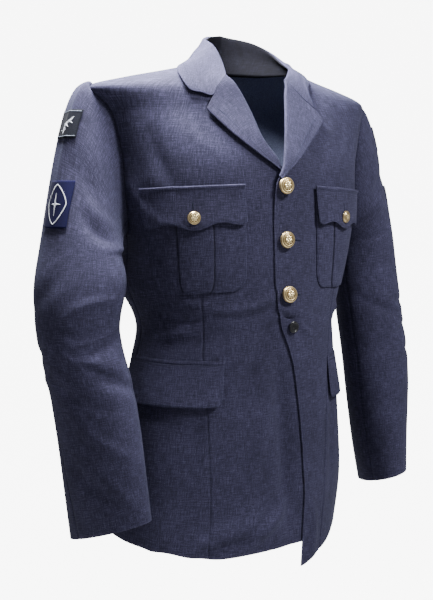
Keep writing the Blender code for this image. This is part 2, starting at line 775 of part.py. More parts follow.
def lapel_line(side, roll, edge, corner):
    """Both faces of a lapel from the panel's edge round the roll to its outer edge, the visible one first."""
    base = on_torso(*roll, front_lift(side, *roll))
    normal = torso_normal(*roll)
    spots = []
    for share, _ in LAPEL_SPOTS:
        if corner is None:
            spots.append((mix(roll[0], edge[0], share), mix(roll[1], edge[1], share)))
        elif share <= 0.5:
            spots.append((mix(roll[0], corner[0], share * 2), mix(roll[1], corner[1], share * 2)))
        else:
            spots.append((mix(corner[0], edge[0], share * 2 - 1), mix(corner[1], edge[1], share * 2 - 1)))
    towards = torso(*spots[1]) - torso(*roll)
    towards = (towards - normal * towards.dot(normal)).normalized()
    faces = []
    for radius, wall in ((ROLL_INNER + CLOTH, CLOTH), (ROLL_INNER, 0.0)):
        line = []
        for turn in ROLL_TURNS:
            bend = math.radians(turn)
            round_roll = -towards * math.cos(bend) * radius + normal * (ROLL_INNER + math.sin(bend) * radius)
            line.append(base + round_roll - towards * ROLL_GAP)
        for spot, (_, height) in zip(spots, LAPEL_SPOTS):
            line.append(on_torso(*spot, front_lift(side, *spot) + height + wall))
        faces.append(line)
    return faces


def add_lapel(side, prefix, collection, wool):
    rows = lapel_rows(side)
    lines = []
    for index, (roll, edge) in enumerate(rows):
        corner = NOTCH[side] if index == len(rows) - 1 else None
        lines.append(lapel_line(side, roll, edge, corner))
    cloth_wall(prefix + "lapel", [pair[0] for pair in lines], [pair[1] for pair in lines], collection, wool)


def pocket_spot(side, across, down):
    """Angle and height on the body at a share across (from the inner edge) and down a breast pocket."""
    inner_top, outer_top, inner_low, outer_low = BREAST_POCKET[side]
    top = [mix(a, b, across) for a, b in zip(inner_top, outer_top)]
    low = [mix(a, b, across) for a, b in zip(inner_low, outer_low)]
    bow = POCKET_BOW[side] * 4 * across * (1 - across)
    return mix(top[0], low[0], down) + bow, mix(top[1], low[1], down)


def pocket_lift(across, down):
    """Inner height of the pocket over its panel: a soft swell with the box pleat raised on it."""
    swell = POCKET_SWELL * math.sin(math.pi * across) * math.sin(math.pi * min(max(down, 0.0), 1.0))
    pleat = PLEAT_RISE if abs(across - 0.5) < PLEAT_HALF else 0.0
    return POCKET_GAP + swell + pleat


def add_breast_pocket(side, prefix, collection, wool):
    height = BREAST_POCKET[side][0][1] - BREAST_POCKET[side][2][1]
    columns = []
    for across in POCKET_COLUMNS:
        if abs(abs(across - 0.5) - PLEAT_HALF) < PLEAT_STEP:
            columns += [across - PLEAT_STEP, across + PLEAT_STEP]
        else:
            columns.append(across)
    face, back = [], []
    for down in POCKET_ROWS:
        short = max(POCKET_CORNER - (1 - down) * height, 0.0)
        inset = (POCKET_CORNER - math.sqrt(POCKET_CORNER ** 2 - short ** 2)) / POCKET_WIDTH
        face_row, back_row = [], []
        for across in columns:
            placed = mix(inset, 1 - inset, across)
            spot = pocket_spot(side, placed, down)
            base = front_lift(side, *spot) + pocket_lift(across, down)
            back_row.append(on_torso(*spot, base))
            face_row.append(on_torso(*spot, base + POCKET_WALL))
        face.append(face_row)
        back.append(back_row)
    cloth_wall(prefix + "breast_pocket", face, back, collection, wool)


def breast_flap_lift(side, across, down):
    spot = pocket_spot(side, across, down)
    swell = pocket_lift(across, down) - (PLEAT_RISE if abs(across - 0.5) < PLEAT_HALF else 0.0)
    return front_lift(side, *spot) + swell + PLEAT_RISE + POCKET_WALL + LAYER_GAP


def add_breast_flap(side, prefix, collection, wool):
    height = BREAST_POCKET[side][0][1] - BREAST_POCKET[side][2][1]
    face, back = [], []
    for part in FLAP_ROWS:
        face_row, back_row = [], []
        for across in spread(0, 1, FLAP_COLUMNS):
            depth = cubic_row(FLAP_EDGE, across)[0]
            down = part * depth / height
            spot = pocket_spot(side, across, down)
            base = breast_flap_lift(side, across, down)
            back_row.append(on_torso(*spot, base))
            face_row.append(on_torso(*spot, base + FLAP_WALL))
        face.append(face_row)
        back.append(back_row)
    cloth_wall(prefix + "breast_flap", face, back, collection, wool)


def add_hip_flap(side, prefix, collection, wool):
    inner, outer, top = HIP_FLAP[side]
    width = math.radians(abs(outer - inner)) * BODY[12][1]
    spots = []
    for down in HIP_FLAP_ROWS:
        short = max(HIP_FLAP_CORNER - (1 - down) * HIP_FLAP_DEPTH, 0.0)
        inset = (HIP_FLAP_CORNER - math.sqrt(HIP_FLAP_CORNER ** 2 - short ** 2)) / width
        row = []
        for across in spread(0, 1, HIP_FLAP_COLUMNS):
            placed = mix(inset, 1 - inset, across)
            row.append((mix(inner, outer, placed), top - down * HIP_FLAP_DEPTH))
        spots.append(row)

    def flap_lift(angle, z):
        return front_lift(side, angle, z) + LAYER_GAP + HIP_FLAP_SPRING * (top - z) / HIP_FLAP_DEPTH

    torso_sheet(prefix + "hip_flap", spots, flap_lift, FLAP_WALL, collection, wool)
    def welt_lift(angle, z):
        return front_lift(side, angle, z) + LAYER_GAP

    welt_low = top + LAYER_GAP
    angles = spread(inner, outer, HIP_FLAP_COLUMNS)
    welt = [[(angle, z) for angle in angles] for z in (welt_low + WELT_DEPTH, welt_low)]
    torso_sheet(prefix + "hip_welt", welt, welt_lift, WELT_WALL, collection, wool)


def button_profile(radius, dome, rim, shank_radius, shank):
    """Turned outline of a button from the top of its dome to the foot of its shank."""
    points = [(0.0, rim + dome)]
    for turn in DOME_TURNS:
        swing = math.radians(turn)
        points.append((radius * 0.94 * math.sin(swing), rim + dome * math.cos(swing)))
    points += [(radius, rim), (radius, rim * 0.3), (radius * 0.9, 0.0)]
    points += [(shank_radius, 0.0), (shank_radius, -shank), (0.0, -shank)]
    return points


def add_button(name, profile, steps, base, normal, collection, material):
    mesh = bpy.data.meshes.new(name)
    edges = [(index, index + 1) for index in range(len(profile) - 1)]
    mesh.from_pydata([(x, 0.0, z) for x, z in profile], edges, [])
    mesh.materials.append(material)
    piece = bpy.data.objects.new(name, mesh)
    collection.objects.link(piece)
    turned = piece.modifiers.new("turned", "SCREW")
    turned.steps = steps
    turned.render_steps = steps
    turned.use_merge_vertices = True
    turned.merge_threshold = 0.00001
    turned.use_smooth_shade = True
    piece.location = base
    piece.rotation_mode = "QUATERNION"
    piece.rotation_quaternion = normal.to_track_quat("Z", "Y")
    return piece


def seat_button(name, radius, shank, spot, lift, collection, material):
    profile = button_profile(radius, radius * BUTTON_DOME, radius * BUTTON_RIM, radius * SHANK_RADIUS, shank)
    base = on_torso(*spot, lift + shank + BUTTON_GAP)
    add_button(name, profile, BUTTON_STEPS, base, torso_normal(*spot), collection, material)


def add_buttons(collection, brass, black):
    for name, angle, z in FRONT_BUTTONS:
        seat_button(name, BRASS_RADIUS, BRASS_SHANK, (angle, z), front_lift(LEFT, angle, z), collection, brass)
    name, *spot = WAIST_BUTTON
    seat_button(name, WAIST_BUTTON_RADIUS, WAIST_SHANK, spot, front_lift(LEFT, *spot), collection, black)
    for side, prefix in ((LEFT, "left_"), (RIGHT, "right_")):
        height = BREAST_POCKET[side][0][1] - BREAST_POCKET[side][2][1]
        down = POCKET_BUTTON_DROP / height
        spot = pocket_spot(side, 0.5, down)
        lift = breast_flap_lift(side, 0.5, down) + FLAP_WALL
        seat_button(prefix + "pocket_button", POCKET_BUTTON_RADIUS, POCKET_SHANK, spot, lift, collection, brass)


def build_jacket():
    clear_scene()
    collection = bpy.data.collections.new("dress_uniform")
    bpy.context.scene.collection.children.link(collection)
    wool = add_material("wool_twill", WOOL_BLUE, 0.85)
    brass = add_material("gilt_brass", BRASS_GOLD, 0.3, 1.0)
    black = add_material("dark_plastic", BUTTON_BLACK, 0.4)
    badge_materials = {
        "shoulder_badge": add_material("grey_badge_cloth", BADGE_GREY, 0.9),
        "sleeve_badge": add_material("navy_badge_cloth", BADGE_NAVY, 0.9),
    }
    for side, prefix in ((LEFT, "left_"), (RIGHT, "right_")):

        def panel_lift(angle, z, side=side):
            return front_lift(side, angle, z) - CLOTH

        torso_sheet(prefix + "front", front_spots(side), panel_lift, CLOTH, collection, wool)
        torso_sheet(prefix + "back", back_spots(side), lambda a, z: -CLOTH, CLOTH, collection, wool)
        add_sleeves(side, prefix, collection, wool)
        add_lapel(side, prefix, collection, wool)
        add_breast_pocket(side, prefix, collection, wool)
        add_breast_flap(side, prefix, collection, wool)
        add_hip_flap(side, prefix, collection, wool)
        add_badges(side, prefix, collection, badge_materials)
    under = -2 * CLOTH - LAYER_GAP
    torso_sheet("vent_underlap", vent_spots(), lambda a, z: under, CLOTH, collection, wool)
    add_collar(collection, wool)
    add_buttons(collection, brass, black)


build_jacket()
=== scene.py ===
import math

import bmesh
import bpy
import numpy as np
from mathutils import Matrix, Vector


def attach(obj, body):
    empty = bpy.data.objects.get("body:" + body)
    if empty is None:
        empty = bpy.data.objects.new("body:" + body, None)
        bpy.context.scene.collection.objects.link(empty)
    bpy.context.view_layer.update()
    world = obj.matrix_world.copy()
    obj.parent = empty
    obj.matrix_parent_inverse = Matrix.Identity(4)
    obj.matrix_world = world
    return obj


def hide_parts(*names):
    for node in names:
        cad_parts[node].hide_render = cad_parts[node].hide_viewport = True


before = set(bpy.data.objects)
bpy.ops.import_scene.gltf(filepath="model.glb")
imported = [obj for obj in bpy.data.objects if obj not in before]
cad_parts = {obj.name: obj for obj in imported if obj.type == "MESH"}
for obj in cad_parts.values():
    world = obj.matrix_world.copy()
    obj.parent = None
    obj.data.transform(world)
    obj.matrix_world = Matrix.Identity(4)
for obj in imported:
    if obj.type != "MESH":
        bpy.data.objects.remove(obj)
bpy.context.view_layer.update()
print("frame loaded:", len(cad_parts), "nodes")

left, right = 1, -1
sides = ((left, "left_"), (right, "right_"))
column = {left: 0, right: 1}  # of the tables that give the left side first

# The camera that took the picture: at chest height, on the jacket's right front, tipped down a little
view = {
    "place": (-0.737, -1.159, -0.210),
    "turn": 30.97,       # degrees to the wearer's left
    "tip": 6.27,         # degrees below level
    "focal": 52.06,      # millimetres on a 36 mm sensor
}

cloth = {
    "wall": 0.0020,      # wool, canvas and lining together
    "seamAngle": 0.02,   # half the gap between two panels, in degrees
    "cell": 0.0035,      # size of a mesh cell
    "seamDrop": 0.0010,  # how far a seam is pressed in
    "seamReach": 0.0022,
    "edgeReach": 0.0022,  # how far the painted highlight along a free edge spreads
    # seamWidth is how far the painted shade along a joining seam spreads
    "seamWidth": 0.0014,
    "creaseDepth": 2.2,  # 1 is as listed
    "seamPaintedShade": 0.45,   # how dark the painted shade along a joining seam is, against a box pleat's edge
}

body = {
    "shoulder": {left: -0.046, right: -0.041},
    "armpit": -0.250,
    "breakHeight": {left: -0.172, right: -0.158},
    "gorge": -0.0255,
    "armholeFront": {left: 10.5, right: 5.0},
    "armholeBack": 15.0,
    "backNeck": 0.004,
    # height, half width, front depth, back depth, sideways shift, roundness
    "sections": (
        (0.014, 0.078, 0.042, 0.080, 0.008, 2.00),
        (0.000, 0.088, 0.050, 0.083, 0.008, 2.00),
        (-0.012, 0.130, 0.056, 0.089, 0.007, 2.05),
        (-0.028, 0.188, 0.064, 0.097, 0.005, 2.10),
        (-0.046, 0.234, 0.071, 0.105, 0.002, 2.15),
        (-0.080, 0.227, 0.087, 0.114, 0.001, 2.20),
        (-0.115, 0.217, 0.103, 0.120, 0.000, 2.20),
        (-0.150, 0.210, 0.114, 0.122, 0.000, 2.20),
        (-0.190, 0.206, 0.119, 0.122, 0.000, 2.20),
        (-0.250, 0.195, 0.121, 0.119, 0.000, 2.20),
        (-0.320, 0.181, 0.124, 0.108, -0.004, 2.20),
        (-0.390, 0.165, 0.126, 0.099, -0.007, 2.15),
        (-0.440, 0.172, 0.127, 0.102, -0.010, 2.10),
        (-0.510, 0.184, 0.129, 0.112, -0.014, 2.10),
        (-0.590, 0.191, 0.134, 0.122, -0.019, 2.10),
        (-0.660, 0.1935, 0.140, 0.128, -0.0245, 2.10),
        (-0.760, 0.1935, 0.149, 0.132, -0.0385, 2.10),
    ),
    # angle, height, slant, half width, half length, rise
    "folds": (
        (-19, -0.680, 22, 0.018, 0.070, 0.006),
        (-48, -0.400, 8, 0.014, 0.060, -0.003),
        (24, -0.372, -24, 0.013, 0.055, 0.003),
        (-118, -0.350, 80, 0.018, 0.080, 0.005),
        (122, -0.360, 98, 0.017, 0.085, 0.005),
        (152, -0.300, 84, 0.020, 0.110, 0.004),
        (-150, -0.330, 96, 0.018, 0.100, 0.004),
        (-100, -0.640, 86, 0.024, 0.090, 0.004),
        (70, -0.650, 94, 0.024, 0.090, 0.005),
        (-90, -0.046, 0, 0.016, 0.045, 0.010),
        (82, -0.016, 0, 0.016, 0.060, -0.011),
    ),
    # angle, height, slant, half width, half length, rise, bend
    "creases": (
        (-14, -0.352, 26, 0.0060, 0.032, 0.0016, 0.30),
        (-20, -0.371, 14, 0.0055, 0.040, -0.0013, 0.22),
        (-12, -0.382, 36, 0.0048, 0.026, 0.0012, -0.20),
        (-33, -0.362, 4, 0.0070, 0.038, 0.0014, 0.10),
        (-62, -0.376, -8, 0.0065, 0.034, -0.0018, 0.15),
        (-66, -0.396, 6, 0.0058, 0.030, 0.0016, -0.10),
        (-58, -0.350, -16, 0.0060, 0.026, 0.0012, 0.20),
        (21, -0.398, -30, 0.0050, 0.026, 0.0012, 0.24),
        (33, -0.376, -12, 0.0062, 0.030, -0.0013, 0.10),
        (62, -0.372, 10, 0.0060, 0.033, 0.0016, -0.16),
        (71, -0.401, -8, 0.0060, 0.026, -0.0014, 0.12),
        (-8, -0.690, 34, 0.0090, 0.050, 0.0030, 0.18),
        (-30, -0.702, 16, 0.0080, 0.045, -0.0030, -0.14),
        (-3, -0.655, 46, 0.0085, 0.040, -0.0020, 0.10),
        (-62, -0.690, 70, 0.0120, 0.050, 0.0022, 0.10),
        (-80, -0.600, 84, 0.0130, 0.070, -0.0024, 0.08),
        (30, -0.700, 96, 0.0100, 0.050, 0.0020, 0.10),
        (52, -0.580, 84, 0.0120, 0.080, -0.0020, 0.06),
        (-60, -0.085, -58, 0.0110, 0.045, -0.0014, 0.20),
        (-70, -0.140, -74, 0.0100, 0.040, -0.0020, 0.16),
        (-79, -0.200, -62, 0.0080, 0.036, 0.0016, 0.20),
        (62, -0.100, 60, 0.0110, 0.040, -0.0014, 0.20),
        (73, -0.158, 72, 0.0090, 0.036, -0.0018, -0.16),
        (-104, -0.210, 62, 0.0090, 0.045, 0.0020, 0.18),
        (-112, -0.262, 50, 0.0100, 0.050, -0.0022, 0.20),
        (106, -0.216, -58, 0.0090, 0.042, 0.0020, -0.18),
        (115, -0.274, -46, 0.0095, 0.050, -0.0022, 0.22),
        (-138, -0.382, 8, 0.0080, 0.045, 0.0020, 0.14),
        (-160, -0.402, -6, 0.0075, 0.050, -0.0018, 0.10),
        (140, -0.392, -10, 0.0080, 0.048, 0.0021, -0.14),
        (165, -0.378, 5, 0.0070, 0.040, -0.0016, 0.10),
        (-128, -0.420, -14, 0.0075, 0.036, -0.0018, 0.14),
        (126, -0.424, 12, 0.0075, 0.038, -0.0017, 0.14),
        (172, -0.060, 14, 0.0120, 0.055, -0.0020, 0.10),
        (-100, -0.325, 0, 0.0400, 0.050, 0.0073, 0.0),
        (-92, -0.038, 0, 0.0260, 0.070, 0.0062, 0.0),
        (7, -0.377, -8, 0.0040, 0.014, -0.0018, 0.30),
        (4, -0.366, -14, 0.0050, 0.018, 0.0012, 0.25),
        (6, -0.520, 100, 0.0150, 0.085, -0.0040, 0.05),
        (11, -0.630, 98, 0.0160, 0.080, -0.0040, 0.04),
        (-20, -0.450, 72, 0.0100, 0.070, -0.0016, 0.08),
        (-12, -0.560, 78, 0.0110, 0.080, 0.0018, 0.06),
        (-44, -0.560, 84, 0.0100, 0.070, 0.0016, 0.06),
        (-168, -0.078, -10, 0.0110, 0.050, 0.0018, 0.10),
    ),
}

# Front edges below the lapel break: height, left front's angle, right front's angle
frontEdge = (
    (-0.752, 22.0, 38.0),
    (-0.700, 22.3, 37.0),
    (-0.640, 22.3, 36.0),
    (-0.590, 21.2, 35.0),
    (-0.550, 19.6, 34.0),
    (-0.507, 17.0, 32.0),
    (-0.449, 11.6, 26.0),
    (-0.419, 6.6, 21.0),
    (-0.388, 0.0, 15.0),
    (-0.332, -5.2, 11.5),
    (-0.285, -7.0, 10.0),
    (-0.238, -8.2, 9.0),
    (-0.190, -7.3, 8.0),
    (-0.172, -6.0, 4.0),
    (-0.158, -4.0, -1.6),
)

# Hem: angle from the front, left height, right height
hem = (
    (0.0, -0.754, -0.716),
    (24.0, -0.752, -0.717),
    (32.0, -0.744, -0.717),
    (45.0, -0.735, -0.714),
    (60.0, -0.725, -0.707),
    (90.0, -0.716, -0.702),
    (180.0, -0.712, -0.712),
)

overlap = {
    "lift": 0.0034,          # left front over the right front
    "fade": (16.0, 40.0),
    "breakLift": 0.0050,     # more where the lapels cross
    "breakMiddle": -0.163,
    "breakReach": 0.032,
}


def linear(hexColor):  # sRGB hex to linear
    parts = [int(hexColor[k:k + 2], 16) / 255 for k in (1, 3, 5)]
    return tuple(p / 12.92 if p <= 0.04045 else ((p + 0.055) / 1.055) ** 2.4 for p in parts) + (1.0,)


def feed(tree, item, inputs):  # sets or links a node's inputs; a node given as a value passes on its first output
    for name, value in inputs.items():
        if isinstance(value, bpy.types.Node):
            value = value.outputs[0]
        if isinstance(value, bpy.types.NodeSocket):
            tree.links.new(value, item.inputs[name])
        else:
            item.inputs[name].default_value = value
    return item


def addNode(tree, kind, inputs=None, stops=(), **settings):  # stops are the places and colours of a ramp
    item = tree.nodes.new(kind)
    for name, value in settings.items():
        setattr(item, name, value)
    if stops:
        while len(item.color_ramp.elements) < len(stops):
            item.color_ramp.elements.new(0.5)
        for element, (place, color) in zip(item.color_ramp.elements, stops):
            element.position = place
            element.color = color
    return feed(tree, item, inputs or {})


def hermite(start, leave, end, reach, t):
    t2, t3 = t * t, t * t * t
    ends = start * (2 * t3 - 3 * t2 + 1) + end * (3 * t2 - 2 * t3)
    return ends + leave * (t3 - 2 * t2 + t) + reach * (t3 - t2)


def tableAt(table, key):  # columns of a table at a key in its first column, along a smooth curve
    rows = np.array(sorted(table), float)
    x, y = rows[:, 0], rows[:, 1:]
    last = len(x) - 1
    key = np.clip(np.asarray(key, float), x[0], x[-1])
    index = np.clip(np.searchsorted(x, key) - 1, 0, last - 1)

    def slope(k):
        low, high = np.maximum(k - 1, 0), np.minimum(k + 1, last)
        return (y[high] - y[low]) / (x[high] - x[low])[..., None]

    span = (x[index + 1] - x[index])[..., None]
    part = (key - x[index])[..., None] / span
    value = hermite(y[index], slope(index) * span, y[index + 1], slope(index + 1) * span, part)
    return np.moveaxis(value, -1, 0)


def smooth(low, high, value):
    part = np.clip((value - low) / (high - low), 0.0, 1.0)
    return part * part * (3 - 2 * part)


def bell(distance, reach):  # 1 in the middle, falling to 0 on both sides
    return np.exp(-((distance / reach) ** 2))


def mix(a, b, part):
    return a + (b - a) * part


def unit(v):
    return v / np.maximum(np.linalg.norm(v, axis=-1, keepdims=True), 1e-12)


def dot(a, b):
    return (a * b).sum(-1, keepdims=True)


def stack(x, y, z):
    return np.stack(np.broadcast_arrays(x, y, z), axis=-1).astype(float)


def foldRise(folds, angle, height, radius):
    rise = 0.0
    for foldAngle, foldHeight, slant, halfWidth, halfLength, amount, *bend in folds:
        around = np.radians((angle - foldAngle + 180) % 360 - 180) * radius
        up = height - foldHeight
        lean = math.radians(slant)
        along = around * math.cos(lean) + up * math.sin(lean)
        across = up * math.cos(lean) - around * math.sin(lean)
        if bend:
            across = across - bend[0] * along ** 2 / halfLength
        rise = rise + amount * np.exp(-((across / halfWidth) ** 2) - (along / halfLength) ** 2)
    return rise


def torso(angle, height):
    angle, height = np.broadcast_arrays(np.asarray(angle, float), np.asarray(height, float))
    halfWidth, front, back, shift, roundness = tableAt(body["sections"], height)
    sine, cosine = np.sin(np.radians(angle)), np.cos(np.radians(angle))
    depth = np.where(cosine >= 0, front, back)
    radius = (np.abs(sine / halfWidth) ** roundness + np.abs(cosine / depth) ** roundness) ** (-1 / roundness)
    radius = radius + foldRise(body["folds"], angle, height, radius)
    radius = radius + foldRise(body["creases"], angle, height, radius) * cloth["creaseDepth"]
    return stack(shift + radius * sine, -radius * cosine, height)


def torsoNormal(angle, height):
    around = torso(angle + 0.5, height) - torso(angle - 0.5, height)
    upward = torso(angle, height + 0.002) - torso(angle, height - 0.002)
    return unit(np.cross(around, upward))


def onTorso(angle, height, lift=0.0):
    return torso(angle, height) + torsoNormal(angle, height) * np.asarray(lift, float)[..., None]


def frontLift(side, angle, height):  # the left front lies over the right one
    if side == right:
        return np.zeros(np.broadcast(angle, height).shape)
    edge = tableAt(frontEdge, height)[0]
    near = 1 - smooth(*overlap["fade"], angle - edge)
    atBreak = bell(height - overlap["breakMiddle"], overlap["breakReach"])
    return near * (overlap["lift"] + overlap["breakLift"] * atBreak)


def armhole(side, phi):
    middle = (body["shoulder"][side] + body["armpit"]) / 2
    half = (body["shoulder"][side] - body["armpit"]) / 2
    swing = np.sin(np.radians(phi))
    reach = np.where(swing > 0, body["armholeFront"][side], body["armholeBack"])
    return side * (90 - reach * swing), middle + half * np.cos(np.radians(phi))


def hemHeight(side, angle):
    return tableAt(hem, np.abs(angle))[column[side]]


def distances(points):  # metres from each point of a grid to its first and last column and row
    across = np.linalg.norm(np.diff(points, axis=1), axis=-1)
    along = np.linalg.norm(np.diff(points, axis=0), axis=-1)
    u = np.concatenate([np.zeros((points.shape[0], 1)), np.cumsum(across, axis=1)], axis=1)
    v = np.concatenate([np.zeros((1, points.shape[1])), np.cumsum(along, axis=0)], axis=0)
    return u, u[:, -1:] - u, v, v[-1:, :] - v


edgeSteps = np.array([0.0, 0.0007, 0.0015, 0.0026, 0.0042])  # metres in from an edge, where the cells are smaller
edgeZone = 0.0062


def shares(length, cell=cloth["cell"]):  # places along a length, closer together at its ends
    count = max(int(length / cell), 2)
    middle = np.linspace(edgeZone, length - edgeZone, count)
    return np.concatenate([edgeSteps, middle, length - edgeSteps[::-1]]) / length


def pressed(points, wanted, drop=cloth["seamDrop"]):
    # how far the cloth sinks towards each edge that is sewn down: a start, b end column, d first, t last row
    sink = np.zeros(points.shape[:2])
    for letter, distance in zip("abdt", distances(points)):
        if letter in wanted:
            sink = np.maximum(sink, bell(distance, cloth["seamReach"]))
    return -drop * sink


def grain(angles, heights):  # place on the cut cloth of a spot on the body
    return np.stack(np.broadcast_arrays(np.radians(angles) * 0.16, heights), -1)


def addObject(name, data):
    item = bpy.data.objects.new(name, data)
    bpy.context.scene.collection.objects.link(item)
    return item


def addPiece(node, mesh):  # a piece takes its node's name without the underscores, as leftFront
    first, *rest = node.split("_") if "_" in node else (node, "piece")
    mesh.name = first + "".join(word.capitalize() for word in rest)
    return addObject(mesh.name, mesh)


def markPoints(mesh, mark, values, kind="FLOAT"):  # a value for each point, read by a material or a tree
    layer = mesh.attributes.new(mark, kind, "POINT")
    layer.data.foreach_set("value" if kind == "FLOAT" else "vector", np.array(values, np.float32).ravel())


def faceOutwards(mesh):
    build = bmesh.new()
    build.from_mesh(mesh)
    bmesh.ops.recalc_face_normals(build, faces=build.faces)
    build.to_mesh(mesh)
    build.free()


def meshPiece(name, face, back, materials, flat=None, free="abdt", sewn=None, inner=None, rimPaintedShadow=0.0):
    # a closed wall of cloth between two grids, with a rounded rim; materials are outside, inside
    # flat holds each point's place on the cut cloth, free the edges not sewn down, sewn how deep a seam it lies in,
    # drawn as painted shade, inner the cells of the outside that show the second material, and the last argument how
    # dark the cut edge is drawn, as painted shadow
    rows, columns = face.shape[:2]
    rim = [(0, c) for c in range(columns)]
    rim += [(r, columns - 1) for r in range(1, rows)]
    rim += [(rows - 1, c) for c in range(columns - 2, -1, -1)]
    rim += [(r, 0) for r in range(rows - 2, 0, -1)]
    rimRows = np.array([r for r, c in rim])
    rimColumns = np.array([c for r, c in rim])
    inRows = np.clip(rimRows, 1, rows - 2)
    inColumns = np.clip(rimColumns, 1, columns - 2)
    middle = (face[rimRows, rimColumns] + back[rimRows, rimColumns]) / 2
    nearer = (face[inRows, inColumns] + back[inRows, inColumns]) / 2
    wall = np.linalg.norm(face[rimRows, rimColumns] - back[rimRows, rimColumns], axis=-1, keepdims=True)
    middle = middle + unit(middle - nearer) * wall * 0.3
    points = np.concatenate([face.reshape(-1, 3), back.reshape(-1, 3), middle])
    size = rows * columns
    cell = np.arange(size).reshape(rows, columns)
    a, b, c, d = cell[:-1, :-1], cell[:-1, 1:], cell[1:, 1:], cell[1:, :-1]
    outside = np.stack([a, b, c, d], -1).reshape(-1, 4)
    inside = np.stack([a, d, c, b], -1).reshape(-1, 4) + size
    ring = cell[rimRows, rimColumns]
    ringNext = np.roll(ring, -1)
    mid = 2 * size + np.arange(len(rim))
    midNext = np.roll(mid, -1)
    rimOut = np.stack([ring, mid, midNext, ringNext], -1)
    rimIn = np.stack([mid, ring + size, ringNext + size, midNext], -1)
    faces = np.concatenate([outside, inside, rimOut, rimIn])
    mesh = bpy.data.meshes.new(name)
    mesh.from_pydata(points.tolist(), [], faces.tolist())
    for material in materials:
        mesh.materials.append(material)
    if len(materials) > 1:
        index = np.zeros(len(faces), dtype=np.int32)
        index[len(outside):len(outside) + len(inside)] = 1
        index[-len(rimIn):] = 1
        if inner is not None:
            index[:len(outside)] = inner[:-1, :-1].reshape(-1)
        mesh.polygons.foreach_set("material_index", index)
    u, uEnd, v, vEnd = distances(face)
    cells = np.cross(face[1:, 1:] - face[:-1, :-1], face[1:, :-1] - face[:-1, 1:])
    measures = (u[:, -1].max(), v[-1].max(), np.linalg.norm(cells, axis=-1).sum() / 2)
    print("measured", name, "width %.3f length %.3f area %.4f" % measures)
    flat = (np.stack([u, v], -1) if flat is None else flat).reshape(-1, 2)
    spots = np.concatenate([flat, flat, flat[ring]])
    corner = np.empty(len(mesh.loops), dtype=np.int32)
    mesh.loops.foreach_get("vertex_index", corner)
    layer = mesh.uv_layers.new(name="cloth")
    layer.data.foreach_set("uv", spots[corner].astype(np.float32).ravel())
    # free edges get a painted highlight, edges sewn to a neighbour a line of painted shade, and the rim painted shadow
    edge = np.zeros(face.shape[:2])
    seam = np.zeros(face.shape[:2]) if sewn is None else sewn
    for letter, distance in zip("abdt", (u, uEnd, v, vEnd)):
        if letter in free:
            edge = np.maximum(edge, bell(distance, cloth["edgeReach"]))
        else:
            seam = np.maximum(seam, cloth["seamPaintedShade"] * bell(distance, cloth["seamWidth"]))
    for mark, values, least in (("edge", edge, 0.0), ("seam", seam, rimPaintedShadow)):
        values = np.broadcast_to(values, face.shape[:2]).reshape(-1)
        markPoints(mesh, mark, np.concatenate([values, values, np.maximum(values[ring], least)]))
    faceOutwards(mesh)
    mesh.shade_smooth()
    return addPiece(name, mesh)


def settle(piece, node):
    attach(piece, "root")
    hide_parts(node)
    print("made", piece.name, len(piece.data.polygons), "faces")


# Materials

woolLook = {
    "outside": ("#201f2e", "#2f2e43", "#4d4b68"),  # darkest, middle and lightest yarn
    # the stand is the same wool drawn near black, as painted shade inside the neck
    "stand": ("#050509", "#0b0b13", "#1a1a26"),
    "edge": 0.10,       # painted highlight: how much lighter a free edge is drawn, from 0 to 1
    "seam": 0.62,       # painted shade: how much darker a seam, pleat groove or cut rim is drawn, from 0 to 1
    "thread": 0.0011,   # metres; drawn coarser than real yarn so that the marl shows
    "cloud": 0.060,     # metres across a lighter or darker patch
    "bump": 0.30,
    "sheen": 0.06,
}


def newMaterial(name):
    material = bpy.data.materials.new(name)
    material.use_nodes = True
    return material, material.node_tree, material.node_tree.nodes["Principled BSDF"]


